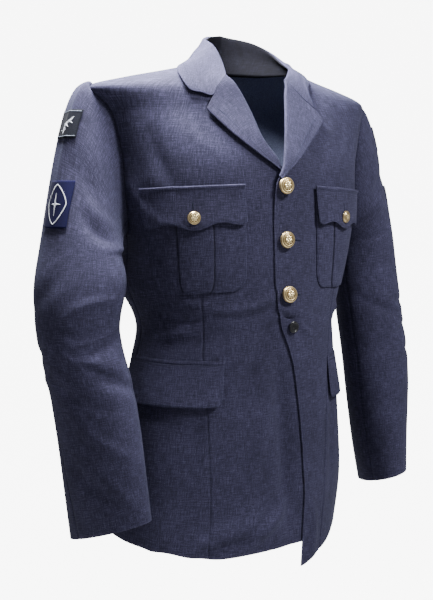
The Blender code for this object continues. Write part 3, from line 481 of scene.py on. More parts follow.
def woolTwill(name, yarns, sheen):
    # Worsted wool twill of mixed blue and grey yarn: matt, with a soft nap that catches light from the side
    material, tree, shader = newMaterial(name)
    uv = addNode(tree, "ShaderNodeUVMap", uv_map="cloth")
    coordinates = addNode(tree, "ShaderNodeTexCoord").outputs["Object"]
    size = 1 / woolLook["thread"]
    marl = addNode(tree, "ShaderNodeTexNoise", {"Vector": coordinates, "Scale": 900.0, "Detail": 2.0})
    for scale in ((size, size * 0.07, 1), (size * 0.07, size, 1)):  # warp and weft, long along the yarn
        yarn = addNode(tree, "ShaderNodeMapping", {"Vector": uv, "Scale": scale})
        uneven = addNode(tree, "ShaderNodeTexNoise", {"Vector": yarn, "Scale": 1.0, "Detail": 2.0})
        marl = addNode(tree, "ShaderNodeMath", {0: uneven, 1: marl}, operation="ADD")
    cloud = addNode(tree, "ShaderNodeTexNoise",
                    {"Vector": coordinates, "Scale": 1 / woolLook["cloud"], "Detail": 3.0})
    tones = []
    for value, *limits in ((marl, 1.05, 1.95, 0.12, 0.88), (cloud, 0.3, 0.7, -0.06, 0.06)):
        inputs = dict(zip(("From Min", "From Max", "To Min", "To Max"), limits), Value=value)
        tones.append(addNode(tree, "ShaderNodeMapRange", inputs))
    # the edge mark paints a highlight along free edges; the seam mark paints shade into seams, pleat grooves and cut
    # rims
    marks = []
    for mark in ("edge", "seam"):
        place = addNode(tree, "ShaderNodeAttribute", attribute_name=mark).outputs["Fac"]
        strength = {0: place, 1: woolLook[mark]}
        marks.append(addNode(tree, "ShaderNodeMath", strength, operation="MULTIPLY", use_clamp=True))
    paintedEdgeHighlight, deep = marks
    shade = addNode(tree, "ShaderNodeMath", {0: tones[0], 1: tones[1]}, operation="ADD")
    shade = addNode(tree, "ShaderNodeMath", {0: shade, 1: paintedEdgeHighlight}, operation="ADD", use_clamp=True)
    color = addNode(tree, "ShaderNodeValToRGB", {"Fac": shade}, list(zip((0.12, 0.5, 0.92), map(linear, yarns))))
    # painted shade: near-black mixed in by the seam mark
    dark = {"Factor": deep, "A": color, "B": linear("#06070c")}
    color = addNode(tree, "ShaderNodeMix", dark, data_type="RGBA").outputs["Result"]
    slant = {"Vector": uv, "Rotation": (0, 0, math.radians(52)), "Scale": (380, 380, 1)}
    twillMap = addNode(tree, "ShaderNodeMapping", slant)
    twill = addNode(tree, "ShaderNodeTexWave", {"Vector": twillMap, "Scale": 1.0, "Distortion": 0.6}).outputs["Fac"]
    ribs = addNode(tree, "ShaderNodeMath", {0: twill, 1: 0.35}, operation="MULTIPLY")
    height = addNode(tree, "ShaderNodeMath", {0: ribs, 1: marl}, operation="ADD")
    bump = addNode(tree, "ShaderNodeBump", {"Height": height, "Strength": woolLook["bump"], "Distance": 0.0005})
    feed(tree, shader, {"Base Color": color, "Normal": bump, "Roughness": 0.9, "Specular IOR Level": 0.15,
                        "Sheen Weight": sheen, "Sheen Roughness": 0.5, "Sheen Tint": linear("#aab4dc")})
    return material


brassLook = {"high": "#ffe9b6", "low": "#7a5a26", "roughness": 0.27}


def giltBrass(name):
    # Stamped brass with a bright gilt finish, polished on the high spots and darker in the hollows
    material, tree, shader = newMaterial(name)
    relief = addNode(tree, "ShaderNodeAttribute", attribute_name="relief").outputs["Fac"]
    coordinates = addNode(tree, "ShaderNodeTexCoord").outputs["Object"]
    spots = addNode(tree, "ShaderNodeTexNoise", {"Vector": coordinates, "Scale": 900.0, "Detail": 3.0})
    tarnish = addNode(tree, "ShaderNodeMath", {0: spots, 1: 0.25}, operation="MULTIPLY")
    level = addNode(tree, "ShaderNodeMath", {0: relief, 1: tarnish}, operation="ADD")
    stops = ((0.10, linear(brassLook["low"])), (0.55, linear(brassLook["high"])))
    color = addNode(tree, "ShaderNodeValToRGB", {"Fac": level}, stops)
    limits = {"Value": level, "From Min": 0.0, "From Max": 1.0, "To Min": 0.42, "To Max": brassLook["roughness"]}
    rough = addNode(tree, "ShaderNodeMapRange", limits)
    feed(tree, shader, {"Base Color": color, "Roughness": rough, "Metallic": 1.0})
    return material


def plainMaterial(name, hexColor, roughness, fineness=600.0, depth=0.0002, sheen=0.0):
    # One colour of cloth, thread or plastic with a fine grain
    material, tree, shader = newMaterial(name)
    coordinates = addNode(tree, "ShaderNodeTexCoord").outputs["Object"]
    noise = addNode(tree, "ShaderNodeTexNoise", {"Vector": coordinates, "Scale": fineness, "Detail": 3.0})
    base = linear(hexColor)
    low, high = (tuple(min(c * k, 1.0) for c in base[:3]) + (1.0,) for k in (0.72, 1.28))
    color = addNode(tree, "ShaderNodeValToRGB", {"Fac": noise}, ((0.3, low), (0.7, high)))
    bump = addNode(tree, "ShaderNodeBump", {"Height": noise, "Strength": 0.4, "Distance": depth})
    feed(tree, shader, {"Base Color": color, "Normal": bump, "Roughness": roughness, "Sheen Weight": sheen,
                        "Specular IOR Level": 0.5 if roughness < 0.5 else 0.15})
    return material


wool = woolTwill("blueGreyWoolTwill", woolLook["outside"], woolLook["sheen"])
lining = plainMaterial("navyLiningTwill", "#565b73", 0.85, sheen=0.05)
# the collar's inside in a near-black copy of the wool: painted shade inside the neck
standWool = woolTwill("standWoolInPaintedShade", woolLook["stand"], 0.0)
outerAndLining = [wool, lining]
brass = giltBrass("gildedBrass")
darkPlastic = plainMaterial("moldedDarkPlastic", "#15151a", 0.35, fineness=300.0, depth=0.00005)
greyBadge = plainMaterial("greyGreenBadgeFelt", "#191b24", 0.95, sheen=0.02)
navyBadge = plainMaterial("navyBadgeFelt", "#0d0c33", 0.95, sheen=0.02)
paleThread = plainMaterial("paleEmbroideryThread", "#d5d8e4", 0.6)
greyThread = plainMaterial("greyEmbroideryThread", "#7f8797", 0.7)
seamThread = plainMaterial("slateSewingThread", "#262b40", 0.7)
# near-black thread along the middle of each buttonhole: painted shade of the cut slit
darkThread = plainMaterial("buttonholeSlitPaintedShade", "#0c0e18", 0.7)
print("materials made")


# Stitches: one tree lays threads along a line that carries the cloth's normal and the thread's half length

def stitchTree():
    tree = bpy.data.node_groups.new("stitchesAlongLine", "GeometryNodeTree")
    face = tree.interface
    face.new_socket("Geometry", in_out="INPUT", socket_type="NodeSocketGeometry")
    for name, value in (("Pitch", 0.003), ("Along", 0.0012), ("Across", 0.0003), ("Height", 0.0003)):
        face.new_socket(name, in_out="INPUT", socket_type="NodeSocketFloat").default_value = value
    face.new_socket("Thread", in_out="INPUT", socket_type="NodeSocketMaterial")
    face.new_socket("Geometry", in_out="OUTPUT", socket_type="NodeSocketGeometry")
    given = addNode(tree, "NodeGroupInput").outputs
    curve = addNode(tree, "GeometryNodeMeshToCurve", {"Mesh": given["Geometry"]})
    steps = addNode(tree, "GeometryNodeResampleCurve", {"Curve": curve, "Length": given["Pitch"]}, mode="LENGTH")
    up = addNode(tree, "GeometryNodeInputNamedAttribute", {"Name": "up"}, data_type="FLOAT_VECTOR")
    reach = addNode(tree, "GeometryNodeInputNamedAttribute", {"Name": "reach"}, data_type="FLOAT")
    tangent = addNode(tree, "GeometryNodeInputTangent")
    stand = addNode(tree, "FunctionNodeAlignRotationToVector", {"Vector": up.outputs["Attribute"]}, axis="Z")
    aim = addNode(tree, "FunctionNodeAlignRotationToVector", {"Rotation": stand, "Vector": tangent},
                  axis="X", pivot_axis="Z")
    thread = addNode(tree, "GeometryNodeMeshUVSphere", {"Segments": 6, "Rings": 4, "Radius": 1.0})
    across = addNode(tree, "ShaderNodeMath", {0: given["Across"], 1: reach.outputs["Attribute"]},
                     operation="MULTIPLY")
    size = addNode(tree, "ShaderNodeCombineXYZ", {"X": given["Along"], "Y": across, "Z": given["Height"]})
    laid = addNode(tree, "GeometryNodeInstanceOnPoints",
                   {"Points": steps, "Instance": thread, "Rotation": aim, "Scale": size})
    whole = addNode(tree, "GeometryNodeRealizeInstances", {"Geometry": laid})
    finished = addNode(tree, "GeometryNodeSetMaterial", {"Geometry": whole, "Material": given["Thread"]})
    addNode(tree, "NodeGroupOutput", {"Geometry": finished})
    return tree


stitching = stitchTree()


def stitches(name, lines, thread, slot, pitch=0.003, along=0.0011, across=0.00028, height=0.00025):
    # lines are (points, normals, half lengths) of each row of stitches
    points, edges, ups, reaches = [], [], [], []
    for line, normals, reach in lines:
        first = len(points)
        points += line.tolist()
        ups += normals.tolist()
        reaches += list(np.broadcast_to(reach, len(line)))
        edges += [(first + k, first + k + 1) for k in range(len(line) - 1)]
    mesh = bpy.data.meshes.new(name)
    mesh.from_pydata(points, edges, [])
    markPoints(mesh, "up", ups, "FLOAT_VECTOR")
    markPoints(mesh, "reach", reaches)
    guide = addObject(name + "Guide", mesh)
    maker = guide.modifiers.new("stitches", "NODES")
    maker.node_group = stitching
    values = {"Pitch": pitch, "Along": along, "Across": across, "Height": height, "Thread": thread}
    for item in stitching.interface.items_tree:
        if item.in_out == "INPUT" and item.name in values:
            maker[item.identifier] = values[item.name]
    shown = guide.evaluated_get(bpy.context.evaluated_depsgraph_get())
    plain = bpy.data.meshes.new_from_object(shown)
    bpy.data.objects.remove(guide)
    plain.shade_smooth()
    piece = addPiece(name, plain)
    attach(piece, "root")


# Collar and neck lines

collar = {
    left: (
        (34.0, -0.0255, 36.0, 0.074, -0.0150, 48.3, -0.0590),
        (60.0, -0.0095, 64.0, 0.069, 0.0000, 53.0, -0.0330),
        (90.0, 0.0000, 90.0, 0.071, 0.0150, 88.0, 0.0030),
        (135.0, 0.0020, 135.0, 0.078, 0.0500, 135.0, -0.0010),
        (180.0, 0.0040, 180.0, 0.079, 0.0620, 180.0, -0.0090),
    ),
    right: (
        (-49.0, -0.0255, -49.0, 0.080, -0.0160, -62.9, -0.0505),
        (-68.0, -0.0090, -68.0, 0.068, 0.0170, -74.0, -0.0210),
        (-90.0, 0.0000, -90.0, 0.065, 0.0350, -90.0, -0.0010),
        (-135.0, 0.0020, -135.0, 0.059, 0.0490, -135.0, -0.0010),
        (-180.0, 0.0040, -180.0, 0.077, 0.0610, -180.0, -0.0090),
    ),
    "shift": 0.008,
    "tuck": 0.0012,      # how far the stand reaches below the neck seam
    "hang": 0.0045,      # and its lining inside
    "inset": 0.0006,     # of that lining from the panels
    "standSteps": (6, 15),  # points of the inside that show the stand, at the front and from the side on
    "lift": {left: (0.0066, 0.0035), right: (0.0066, 0.0066)},  # of the fall, at the front and from the side on
    "liftFade": (0.7, 1.7),
    "clearTop": 0.012,
    "belly": 0.002,
    "foldRadius": 0.0040,
    "gorgeGap": 0.0009,
    "notchGap": 0.6,
}

roll = (  # roll lines of the lapels: height, left angle, right angle
    (-0.1720, -5.0, 2.5),
    (-0.1580, -1.3, -1.6),
    (-0.1430, 1.4, -5.0),
    (-0.1290, 4.2, -10.5),
    (-0.1130, 7.4, -15.5),
    (-0.0850, 13.8, -22.0),
    (-0.0560, 22.5, -31.0),
    (-0.0360, 30.0, -40.5),
    (-0.0255, 34.0, -49.0),
)

lapel = {
    left: (  # outer edge from the break to the notch tip: share of length, angle, height
        (0.00, -4.6, -0.1740),
        (0.14, 1.8, -0.1633),
        (0.32, 10.0, -0.1513),
        (0.55, 21.4, -0.1335),
        (0.78, 34.9, -0.1123),
        (0.96, 47.0, -0.0903),
        (1.00, 49.5, -0.0829),
    ),
    right: (
        (0.00, -3.6, -0.1590),
        (0.14, -10.5, -0.1500),
        (0.34, -17.5, -0.1412),
        (0.60, -31.8, -0.1201),
        (0.80, -41.7, -0.1030),
        (0.96, -52.2, -0.0816),
        (1.00, -53.9, -0.0762),
    ),
    "notch": {left: (46.3, -0.0645), right: (-52.2, -0.0566)},
    "inner": 0.0009,
    "gap": 0.0004,
    "cornerFrom": 6 / 7,
    "spots": ((0.12, 0.0022), (0.30, 0.0024), (0.50, 0.0026), (0.75, 0.0031), (1.00, 0.0036)),
}


turnSteps = 44  # points from the panel round the roll or fold to the outer edge


def collarStation(side, place):
    return tableAt([(k, *row) for k, row in enumerate(collar[side])], place)


def finer(points, steps):  # more points along the second axis of a grid, on a smooth curve through them
    count = points.shape[1]
    place = np.linspace(0, count - 1, steps)
    index = np.clip(place.astype(int), 0, count - 2)
    part = (place - index)[None, :, None]
    padded = np.concatenate([2 * points[:, :1] - points[:, 1:2], points, 2 * points[:, -1:] - points[:, -2:-1]], axis=1)
    before, start, end, after = (padded[:, index + k] for k in range(4))
    return hermite(start, (end - before) / 2, end, (after - start) / 2, part)


def lapelLine(side, rollSpot, edgeSpot, cornerSpot, weight):
    # both faces of a lapel from the panel's edge round the roll to its outer edge, the visible one first
    rollAngle, rollHeight = rollSpot
    normal = torsoNormal(rollAngle, rollHeight)
    base = onTorso(rollAngle, rollHeight, frontLift(side, rollAngle, rollHeight))
    spots = []
    for share, height in lapel["spots"]:
        straight = [mix(a, b, share) for a, b in zip(rollSpot, edgeSpot)]
        if share <= 0.5:
            bent = [mix(a, b, share * 2) for a, b in zip(rollSpot, cornerSpot)]
        else:
            bent = [mix(a, b, share * 2 - 1) for a, b in zip(cornerSpot, edgeSpot)]
        spots.append([mix(a, b, weight) for a, b in zip(straight, bent)])
    towards = torso(*spots[1]) - torso(rollAngle, rollHeight)
    towards = unit(towards - normal * dot(towards, normal))
    faces = []
    for radius, wall in ((lapel["inner"] + cloth["wall"], cloth["wall"]), (lapel["inner"], 0.0)):
        line = []
        for turn in (-90, -45, 0, 45, 90):
            bend = math.radians(turn)
            arc = normal * (lapel["inner"] + math.sin(bend) * radius) - towards * math.cos(bend) * radius
            line.append(base + arc - towards * lapel["gap"])
        for spot, (share, height) in zip(spots, lapel["spots"]):
            line.append(onTorso(*spot, frontLift(side, *spot) + height + wall))
        faces.append(np.stack(line, axis=1))
    return faces


def clearOfBody(point, lift):
    for _ in range(12):
        angle = np.degrees(np.arctan2(point[..., 0], -point[..., 1]))
        normal = torsoNormal(angle, point[..., 2])
        gap = dot(point - torso(angle, point[..., 2]), normal)
        point = point + normal * np.maximum(lift - gap, 0) * (point[..., 2:] < collar["clearTop"])
    return point


def neckLine(side, place):
    seamAngle, seamHeight, foldAngle, foldRadius, foldHeight, edgeAngle, edgeHeight = collarStation(side, place)
    climb = unit(torso(seamAngle, seamHeight + 0.002) - torso(seamAngle, seamHeight - 0.002)) * -collar["tuck"]
    wall = np.full(seamAngle.shape, cloth["wall"])
    start = onTorso(seamAngle, seamHeight, -wall) + climb
    turn = np.radians(foldAngle)
    outward = stack(np.sin(turn), -np.cos(turn), 0.0)
    fold = outward * foldRadius[..., None] + stack(collar["shift"], 0.0, foldHeight)
    lift = mix(*collar["lift"][side], smooth(*collar["liftFade"], place))
    end = onTorso(edgeAngle, edgeHeight, lift)
    fall, rise = unit(end - fold), unit(fold - start)
    crown, over = unit(rise - fall), unit(fall + rise)
    radius = collar["foldRadius"]
    line = [start, (start + fold) / 2]
    for degrees in (-60, -20, 20, 60):
        bend = math.radians(degrees)
        line.append(fold - crown * radius + (crown * math.cos(bend) + over * math.sin(bend)) * radius)
    for share in (0.3, 0.55, 0.8, 1.0):
        point = mix(fold, end, share) + unit(crown * 0.4 + outward) * collar["belly"] * math.sin(math.pi * share)
        line.append(clearOfBody(point, lift[:, None]))
    along = -stack(np.cos(turn), np.sin(turn), 0.0)
    rear = []
    for index, point in enumerate(line):
        tangent = line[min(index + 1, len(line) - 1)] - line[max(index - 1, 0)]
        rear.append(point + unit(np.cross(tangent, along)) * cloth["wall"])
    rear[0] = onTorso(seamAngle, seamHeight) + climb
    line[0] = onTorso(seamAngle, seamHeight, -wall) - outward * collar["inset"] - stack(0, 0, collar["hang"])
    return np.stack(line, axis=1), np.stack(rear, axis=1)


def makeCollar():
    halves = []
    for side in (right, left):
        place = np.concatenate([np.linspace(0, 0.06, 4), np.linspace(0.1, 4, 84)])
        gorge = body["gorge"]
        ones = np.ones(len(place))
        start = (tableAt(roll, gorge)[column[side]] * ones, (gorge + collar["gorgeGap"]) * ones)
        notch = lapel["notch"][side]
        corner = ((notch[0] + side * collar["notchGap"]) * ones, (notch[1] + collar["gorgeGap"]) * ones)
        tip = (collar[side][0][5] * ones, collar[side][0][6] * ones)
        front = lapelLine(side, start, tip, corner, 1.0)
        standing = neckLine(side, place)
        part = smooth(0.0, 1.0, place)[:, None, None]
        faces = []
        for a, b in zip(front, standing):
            line = mix(a, b, part)
            line[1:, 0] = b[1:, 0]
            faces.append(finer(line, turnSteps))
        # cells of the collar's inside that take the near-black copy of the wool, its painted shade
        shown = mix(*collar["standSteps"], smooth(0.0, 1.2, place))
        faces.append(np.arange(turnSteps)[None, :] < shown[:, None])
        halves.append(faces)
    face, back, inner = (np.concatenate([first, second[-2::-1]]) for first, second in zip(*halves))
    # the cut rim is drawn dark, as painted shadow under the collar's edge
    return meshPiece("collar", face, back, [wool, standWool], free="bdt", inner=inner, rimPaintedShadow=0.7), face


def makeLapel(side, prefix):
    part = shares(0.150, 0.0024)
    rollHeight = mix(body["breakHeight"][side], body["gorge"], part)
    rollSpot = (tableAt(roll, rollHeight)[column[side]], rollHeight)
    edgeSpot = tuple(tableAt(lapel[side], part))
    corner = tuple(np.full(len(part), x) for x in lapel["notch"][side])
    weight = np.clip((part - lapel["cornerFrom"]) / (1 - lapel["cornerFrom"]), 0, 1)
    face, back = (finer(line, turnSteps) for line in lapelLine(side, rollSpot, edgeSpot, corner, weight))
    # the cut rim is drawn dark, as painted shadow under the lapel's edge
    return meshPiece(prefix + "lapel", face, back, [wool], free="abd", rimPaintedShadow=0.7), face


# Body panels

seams = {
    # the long dart of the right front, mirrored on the left one: height, angle
    "dart": (
        (-0.716, -38.0),
        (-0.6625, -39.4),
        (-0.591, -41.5),
        (-0.511, -44.8),
        (-0.433, -49.3),
        (-0.388, -50.3),
        (-0.340, -50.9),
    ),
    "drop": 0.0011,
    "reach": 0.0013,
    # painted shade along the dart, from 0 to 1
    "shade": 0.42,
    "top": (-0.345, -0.325),
    "highest": -0.3,
    "radius": 0.15,          # of the body, to turn degrees into metres
    "frontRows": (0.56, 0.23),  # lengths below and above the break
    "frontShares": (7, 4),   # of the part above: along the roll line, along the neck seam
    "backRows": (0.47, 0.25),
    "backWidth": 0.26,
}


def withSeam(length, seamShare):
    # places across one row, closer together at both ends and round the seam
    near = np.array([-0.0030, -0.0017, -0.0008, 0.0, 0.0008, 0.0017, 0.0030]) / length
    ends, zone, clear = edgeSteps / length, edgeZone / length, 0.0045 / length
    seamShare = min(max(seamShare, 0.14), 0.86)
    first = np.linspace(zone, seamShare - clear, 34)
    last = np.linspace(seamShare + clear, 1 - zone, 34)
    return np.concatenate([ends, first, seamShare + near, last, 1 - ends[::-1]])


def dartAngle(side, height):
    return -side * tableAt(seams["dart"], np.minimum(height, seams["highest"]))[0]


def frontGrid(side):
    hemFront = hemHeight(side, abs(frontEdge[0][1 + column[side]]))
    hemSide = hemHeight(side, 90)
    limit = 90 - cloth["seamAngle"]
    rowSpots = []
    lower, upper = seams["frontRows"]
    for part in shares(lower)[:-len(edgeSteps)]:
        edgeHeight = mix(hemFront, body["breakHeight"][side], part)
        edgeAngle = tableAt(frontEdge, edgeHeight)[column[side]]
        rowSpots.append((edgeAngle, edgeHeight, side * limit, mix(hemSide, body["armpit"], part), part, 0.0))
    rollPart, neckPart = seams["frontShares"]
    for part in shares(upper)[1:]:
        step = part * (rollPart + neckPart)
        if step <= rollPart:
            height = mix(body["breakHeight"][side], body["gorge"], step / rollPart)
            angle = tableAt(roll, height)[column[side]]
        else:
            angle, height = collarStation(side, 2 * (step - rollPart) / neckPart)[:2]
        sideAngle, sideHeight = armhole(side, 180 * (1 - part))
        rowSpots.append((angle, height, sideAngle, sideHeight, 1.0, part))
    angles, heights = [], []
    for edgeAngle, edgeHeight, sideAngle, sideHeight, part, upper in rowSpots:
        seam = dartAngle(side, (edgeHeight + sideHeight) / 2)
        span = side * (sideAngle - edgeAngle)
        length = max(math.radians(span) * seams["radius"], 0.13)
        seamShare = side * (seam - edgeAngle) / span if span > 30 else 0.5
        share = withSeam(length, mix(seamShare, 0.5, smooth(0.0, 0.35, upper)))
        row = side * np.minimum(side * mix(edgeAngle, sideAngle, share), limit)
        level = mix(edgeHeight, sideHeight, share)
        if part < 1:
            drop = hemHeight(side, row) - mix(hemFront, hemSide, share)
            level = level + drop * (1 - part) ** 2
        angles.append(row)
        heights.append(level)
    return np.array(angles), np.array(heights)


def dartSink(side, angles, heights):
    off = np.radians(angles - dartAngle(side, heights)) * seams["radius"]
    fade = 1 - smooth(*seams["top"], heights)
    return -seams["drop"] * fade * bell(off, seams["reach"])


def makeFront(side, prefix):
    angles, heights = frontGrid(side)
    lift = frontLift(side, angles, heights)
    base = onTorso(angles, heights, lift)
    dart = dartSink(side, angles, heights)
    sink = pressed(base, "b") + dart
    face = onTorso(angles, heights, lift + sink)
    back = onTorso(angles, heights, lift - cloth["wall"] + np.minimum(sink, 0) * 0.5)
    # painted shade along the dart line, as strong as the dart's sink
    sewn = -dart / seams["drop"] * seams["shade"]
    return meshPiece(prefix + "front", face, back, outerAndLining, grain(angles, heights), "adt", sewn)


def backGrid(side):
    centre, seam = side * (180 - cloth["seamAngle"]), side * (90 + cloth["seamAngle"])
    share = shares(seams["backWidth"])
    lower, upper = seams["backRows"]
    angles, heights = [], []
    for part in shares(lower)[:-len(edgeSteps)]:
        row = mix(centre, seam, share)
        angles.append(row)
        heights.append(mix(hemHeight(side, row), body["armpit"], part))
    for part in shares(upper)[1:]:
        sideAngle, sideHeight = armhole(side, -180 * (1 - part))
        sideAngle = side * max(side * sideAngle, 90 + cloth["seamAngle"])
        row = mix(centre, sideAngle, share)
        level = mix(mix(body["armpit"], body["backNeck"], part), sideHeight, share)
        atNeck = share <= 0.5
        topAngle = np.where(atNeck, mix(centre, seam, share * 2), seam)
        alongShoulder = mix(0.0, body["shoulder"][side], share * 2 - 1)
        topHeight = np.where(atNeck, mix(body["backNeck"], 0.0, share * 2), alongShoulder)
        pull = part ** 2
        row = row + (topAngle - mix(centre, seam, share)) * pull
        level = level + (topHeight - mix(body["backNeck"], body["shoulder"][side], share)) * pull
        angles.append(row)
        heights.append(level)
    return np.array(angles), np.array(heights)


def makeBack(side, prefix):
    angles, heights = backGrid(side)
    base = torso(angles, heights)
    sink = pressed(base, "ab")
    face = onTorso(angles, heights, sink)
    back = onTorso(angles, heights, sink * 0.5 - cloth["wall"])
    return meshPiece(prefix + "back", face, back, outerAndLining, grain(angles, heights), "dt")


vent = {"top": -0.500, "halfWidth": 0.028, "rise": 0.004, "gap": 0.0004, "radius": 0.128}


def makeVent():
    low = hemHeight(left, 180) + vent["rise"]
    reach = math.degrees(vent["halfWidth"] / vent["radius"])
    angles, heights = np.meshgrid(180 + reach * np.linspace(-1, 1, 18), np.linspace(low, vent["top"], 60))
    under = -2 * cloth["wall"] - vent["gap"]
    face, back = (onTorso(angles, heights, np.full(angles.shape, lift)) for lift in (under + cloth["wall"], under))
    return meshPiece("vent_underlap", face, back, outerAndLining, grain(angles, heights))


# Sleeves

sleeve = {
    # height, right and left centre from the middle, right and left depth, long and short half sizes, turn
    "sections": (
        (-0.250, 0.272, 0.261, -0.010, 0.016, 0.059, 0.052, 0),
        (-0.330, 0.288, 0.258, -0.028, 0.000, 0.059, 0.056, 10),
        (-0.400, 0.287, 0.256, -0.040, -0.018, 0.060, 0.056, 20),
        (-0.460, 0.276, 0.254, -0.050, -0.034, 0.061, 0.055, 24),
        (-0.530, 0.268, 0.250, -0.058, -0.048, 0.063, 0.051, 25),
        (-0.600, 0.263, 0.246, -0.065, -0.060, 0.066, 0.044, 25),
        (-0.672, 0.257, 0.246, -0.069, -0.070, 0.069, 0.036, 25),
    ),
    "tilt": 0.31,        # rise of the cuff's edge forward
    "lean": 0.16,        # and to the wearer's left
    "join": -0.280,
    "cuff": -0.665,
    "swell": {left: 0.038, right: 0.078},
    "rise": {left: -0.006, right: 0.070},
    "forward": {left: 0.040, right: 0.012},  # how far the cap leans out in front of its armhole
    "creaseDepth": 1.5,
    "tuck": 0.0015,      # how far the cap reaches under the body's panels
    "seamFront": {left: 164.0, right: 144.0},
    "seamBack": (  # station down the sleeve, angle round the arm
        (0.00, -72.0),
        (0.95, -72.0),
        (1.20, -62.0),
        (1.42, -34.0),
        (1.60, -12.0),
        (1.80, -4.0),
        (2.00, 0.0),
    ),
    "gap": 0.12,         # half the seam between the sleeves, in degrees
    "radius": 0.058,     # to turn degrees round the arm into metres
    # side, angle round the arm, height, slant, half width, half length, rise, bend
    "folds": (
        (right, 150, -0.318, 0, 0.0420, 0.050, 0.0098, 0.0),
        (left, 96, -0.385, 20, 0.010, 0.040, -0.004, 0.0),
        (left, 104, -0.440, -24, 0.011, 0.045, -0.004, 0.0),
        (left, 40, -0.170, -50, 0.014, 0.050, -0.003, 0.0),
        (right, 100, -0.400, 18, 0.011, 0.042, -0.004, 0.0),
        (right, 108, -0.452, -22, 0.010, 0.040, -0.003, 0.0),
        (right, 60, -0.190, -60, 0.016, 0.050, -0.003, 0.0),
        (left, 62, -0.372, 14, 0.0060, 0.034, -0.0022, 0.25),
        (left, 70, -0.398, 4, 0.0052, 0.028, 0.0020, -0.20),
        (left, 58, -0.418, -12, 0.0060, 0.032, -0.0022, 0.20),
        (left, 76, -0.436, -26, 0.0055, 0.030, 0.0018, 0.20),
        (left, 50, -0.456, -18, 0.0065, 0.030, -0.0018, -0.20),
        (left, 84, -0.505, -34, 0.0080, 0.036, 0.0018, 0.15),
        (left, 60, -0.150, -62, 0.0060, 0.030, 0.0018, 0.22),
        (left, 72, -0.180, -50, 0.0060, 0.034, -0.0022, 0.20),
        (left, 78, -0.212, -38, 0.0065, 0.036, 0.0020, 0.18),
        (left, 96, -0.262, -20, 0.0070, 0.034, -0.0022, 0.18),
        (right, 74, -0.214, -44, 0.0080, 0.040, 0.0020, 0.18),
        (right, 92, -0.252, -30, 0.0080, 0.036, -0.0024, 0.16),
        (right, 84, -0.342, 16, 0.0070, 0.036, 0.0018, -0.20),
        (right, 78, -0.384, 6, 0.0065, 0.036, -0.0022, 0.22),
        (right, 62, -0.418, -10, 0.0070, 0.032, 0.0019, 0.20),
        (right, 88, -0.436, -22, 0.0065, 0.034, -0.0022, 0.20),
        (right, 42, -0.470, -30, 0.0090, 0.045, -0.0018, 0.14),
        (right, 60, -0.530, -48, 0.0095, 0.045, 0.0020, 0.12),
        (right, 36, -0.590, -52, 0.0100, 0.045, -0.0018, 0.12),
        (right, 74, -0.612, -60, 0.0090, 0.036, 0.0018, 0.12),
        (right, 20, -0.330, 40, 0.0120, 0.050, -0.0014, 0.12),
        (right, -30, -0.420, 20, 0.0080, 0.040, -0.0020, 0.20),
        (right, -46, -0.450, -10, 0.0080, 0.036, 0.0020, 0.20),
        (left, -34, -0.424, -16, 0.0080, 0.040, -0.0022, 0.20),
        (left, -50, -0.462, 12, 0.0075, 0.036, 0.0019, 0.16),
        (left, -120, -0.330, 20, 0.0090, 0.040, -0.0020, 0.16),
        (right, -118, -0.340, -18, 0.0090, 0.042, -0.0020, 0.16),
        (left, 10, -0.560, 50, 0.0100, 0.050, 0.0018, 0.12),
    ),
}


def sleeveRise(side, phi, height, radius):
    folds = [fold[1:] for fold in sleeve["folds"] if fold[0] == side]
    return foldRise(folds, phi, height, radius) * sleeve["creaseDepth"]


def sleeveRing(side, phi, height):
    sections = sleeve["sections"]
    rightX, leftX, rightY, leftY, longHalf, shortHalf, turn = tableAt(sections, height)
    centreX, depth = (leftX, leftY) if side == left else (rightX, rightY)
    lean = np.radians(turn)
    swing = np.radians(phi) - lean
    rise = sleeveRise(side, phi, height, (longHalf + shortHalf) / 2)
    forward = np.sin(swing) * (longHalf + rise)
    outward = np.cos(swing) * (shortHalf + rise)
    x = side * (centreX + outward * np.cos(lean) - forward * np.sin(lean))
    y = depth - forward * np.cos(lean) - outward * np.sin(lean)
    tilt = (depth - y) * sleeve["tilt"] + (x - side * centreX) * sleeve["lean"]
    return stack(x, y, height + tilt * smooth(sections[2][0], sections[-1][0], height))


def sleeveCap(side, phi, part):
    start = torso(*armhole(side, phi))
    turn = np.radians(phi)
    top, front = (1 + np.cos(turn)) / 2, np.sin(turn)
    start = start - stack(side, front, -np.cos(turn)) * sleeve["tuck"]
    end = sleeveRing(side, phi, np.full(np.shape(phi), sleeve["join"]))
    below = sleeveRing(side, phi, np.full(np.shape(phi), sleeve["join"] - 0.010))
    up = sleeve["rise"][side] * top - 0.034 * (1 - top)
    leave = stack(side * (0.025 + sleeve["swell"][side] * top), -sleeve["forward"][side] * front, up)
    reach = unit(below - end) * (0.035 + 0.185 * top)[..., None]
    point = hermite(start, leave, end, reach, np.asarray(part)[..., None])
    rise = sleeveRise(side, phi, point[..., 2], sleeve["radius"])
    rise = rise * smooth(0.15, 0.5, part) * (1 - smooth(0.8, 1.0, part))
    return point + stack(side * np.cos(turn), -front, 0.0) * rise[..., None]


def sleevePoint(side, phi, station):
    phi, station = np.broadcast_arrays(np.asarray(phi, float), np.asarray(station, float))
    cap = sleeveCap(side, phi, np.clip(station, 0, 1))
    ring = sleeveRing(side, phi, mix(sleeve["join"], sleeve["cuff"], np.maximum(station - 1, 0)))
    return np.where((station <= 1)[..., None], cap, ring)


def sleeveNormal(side, phi, station):
    around = sleevePoint(side, phi + 2, station) - sleevePoint(side, phi - 2, station)
    low = np.maximum(station - 0.01, 0.0)
    down = sleevePoint(side, phi, low + 0.02) - sleevePoint(side, phi, low)
    return unit(np.cross(around, down)) * side


def onSleeve(side, phi, station, lift):
    return sleevePoint(side, phi, station) + sleeveNormal(side, phi, station) * np.asarray(lift, float)[..., None]


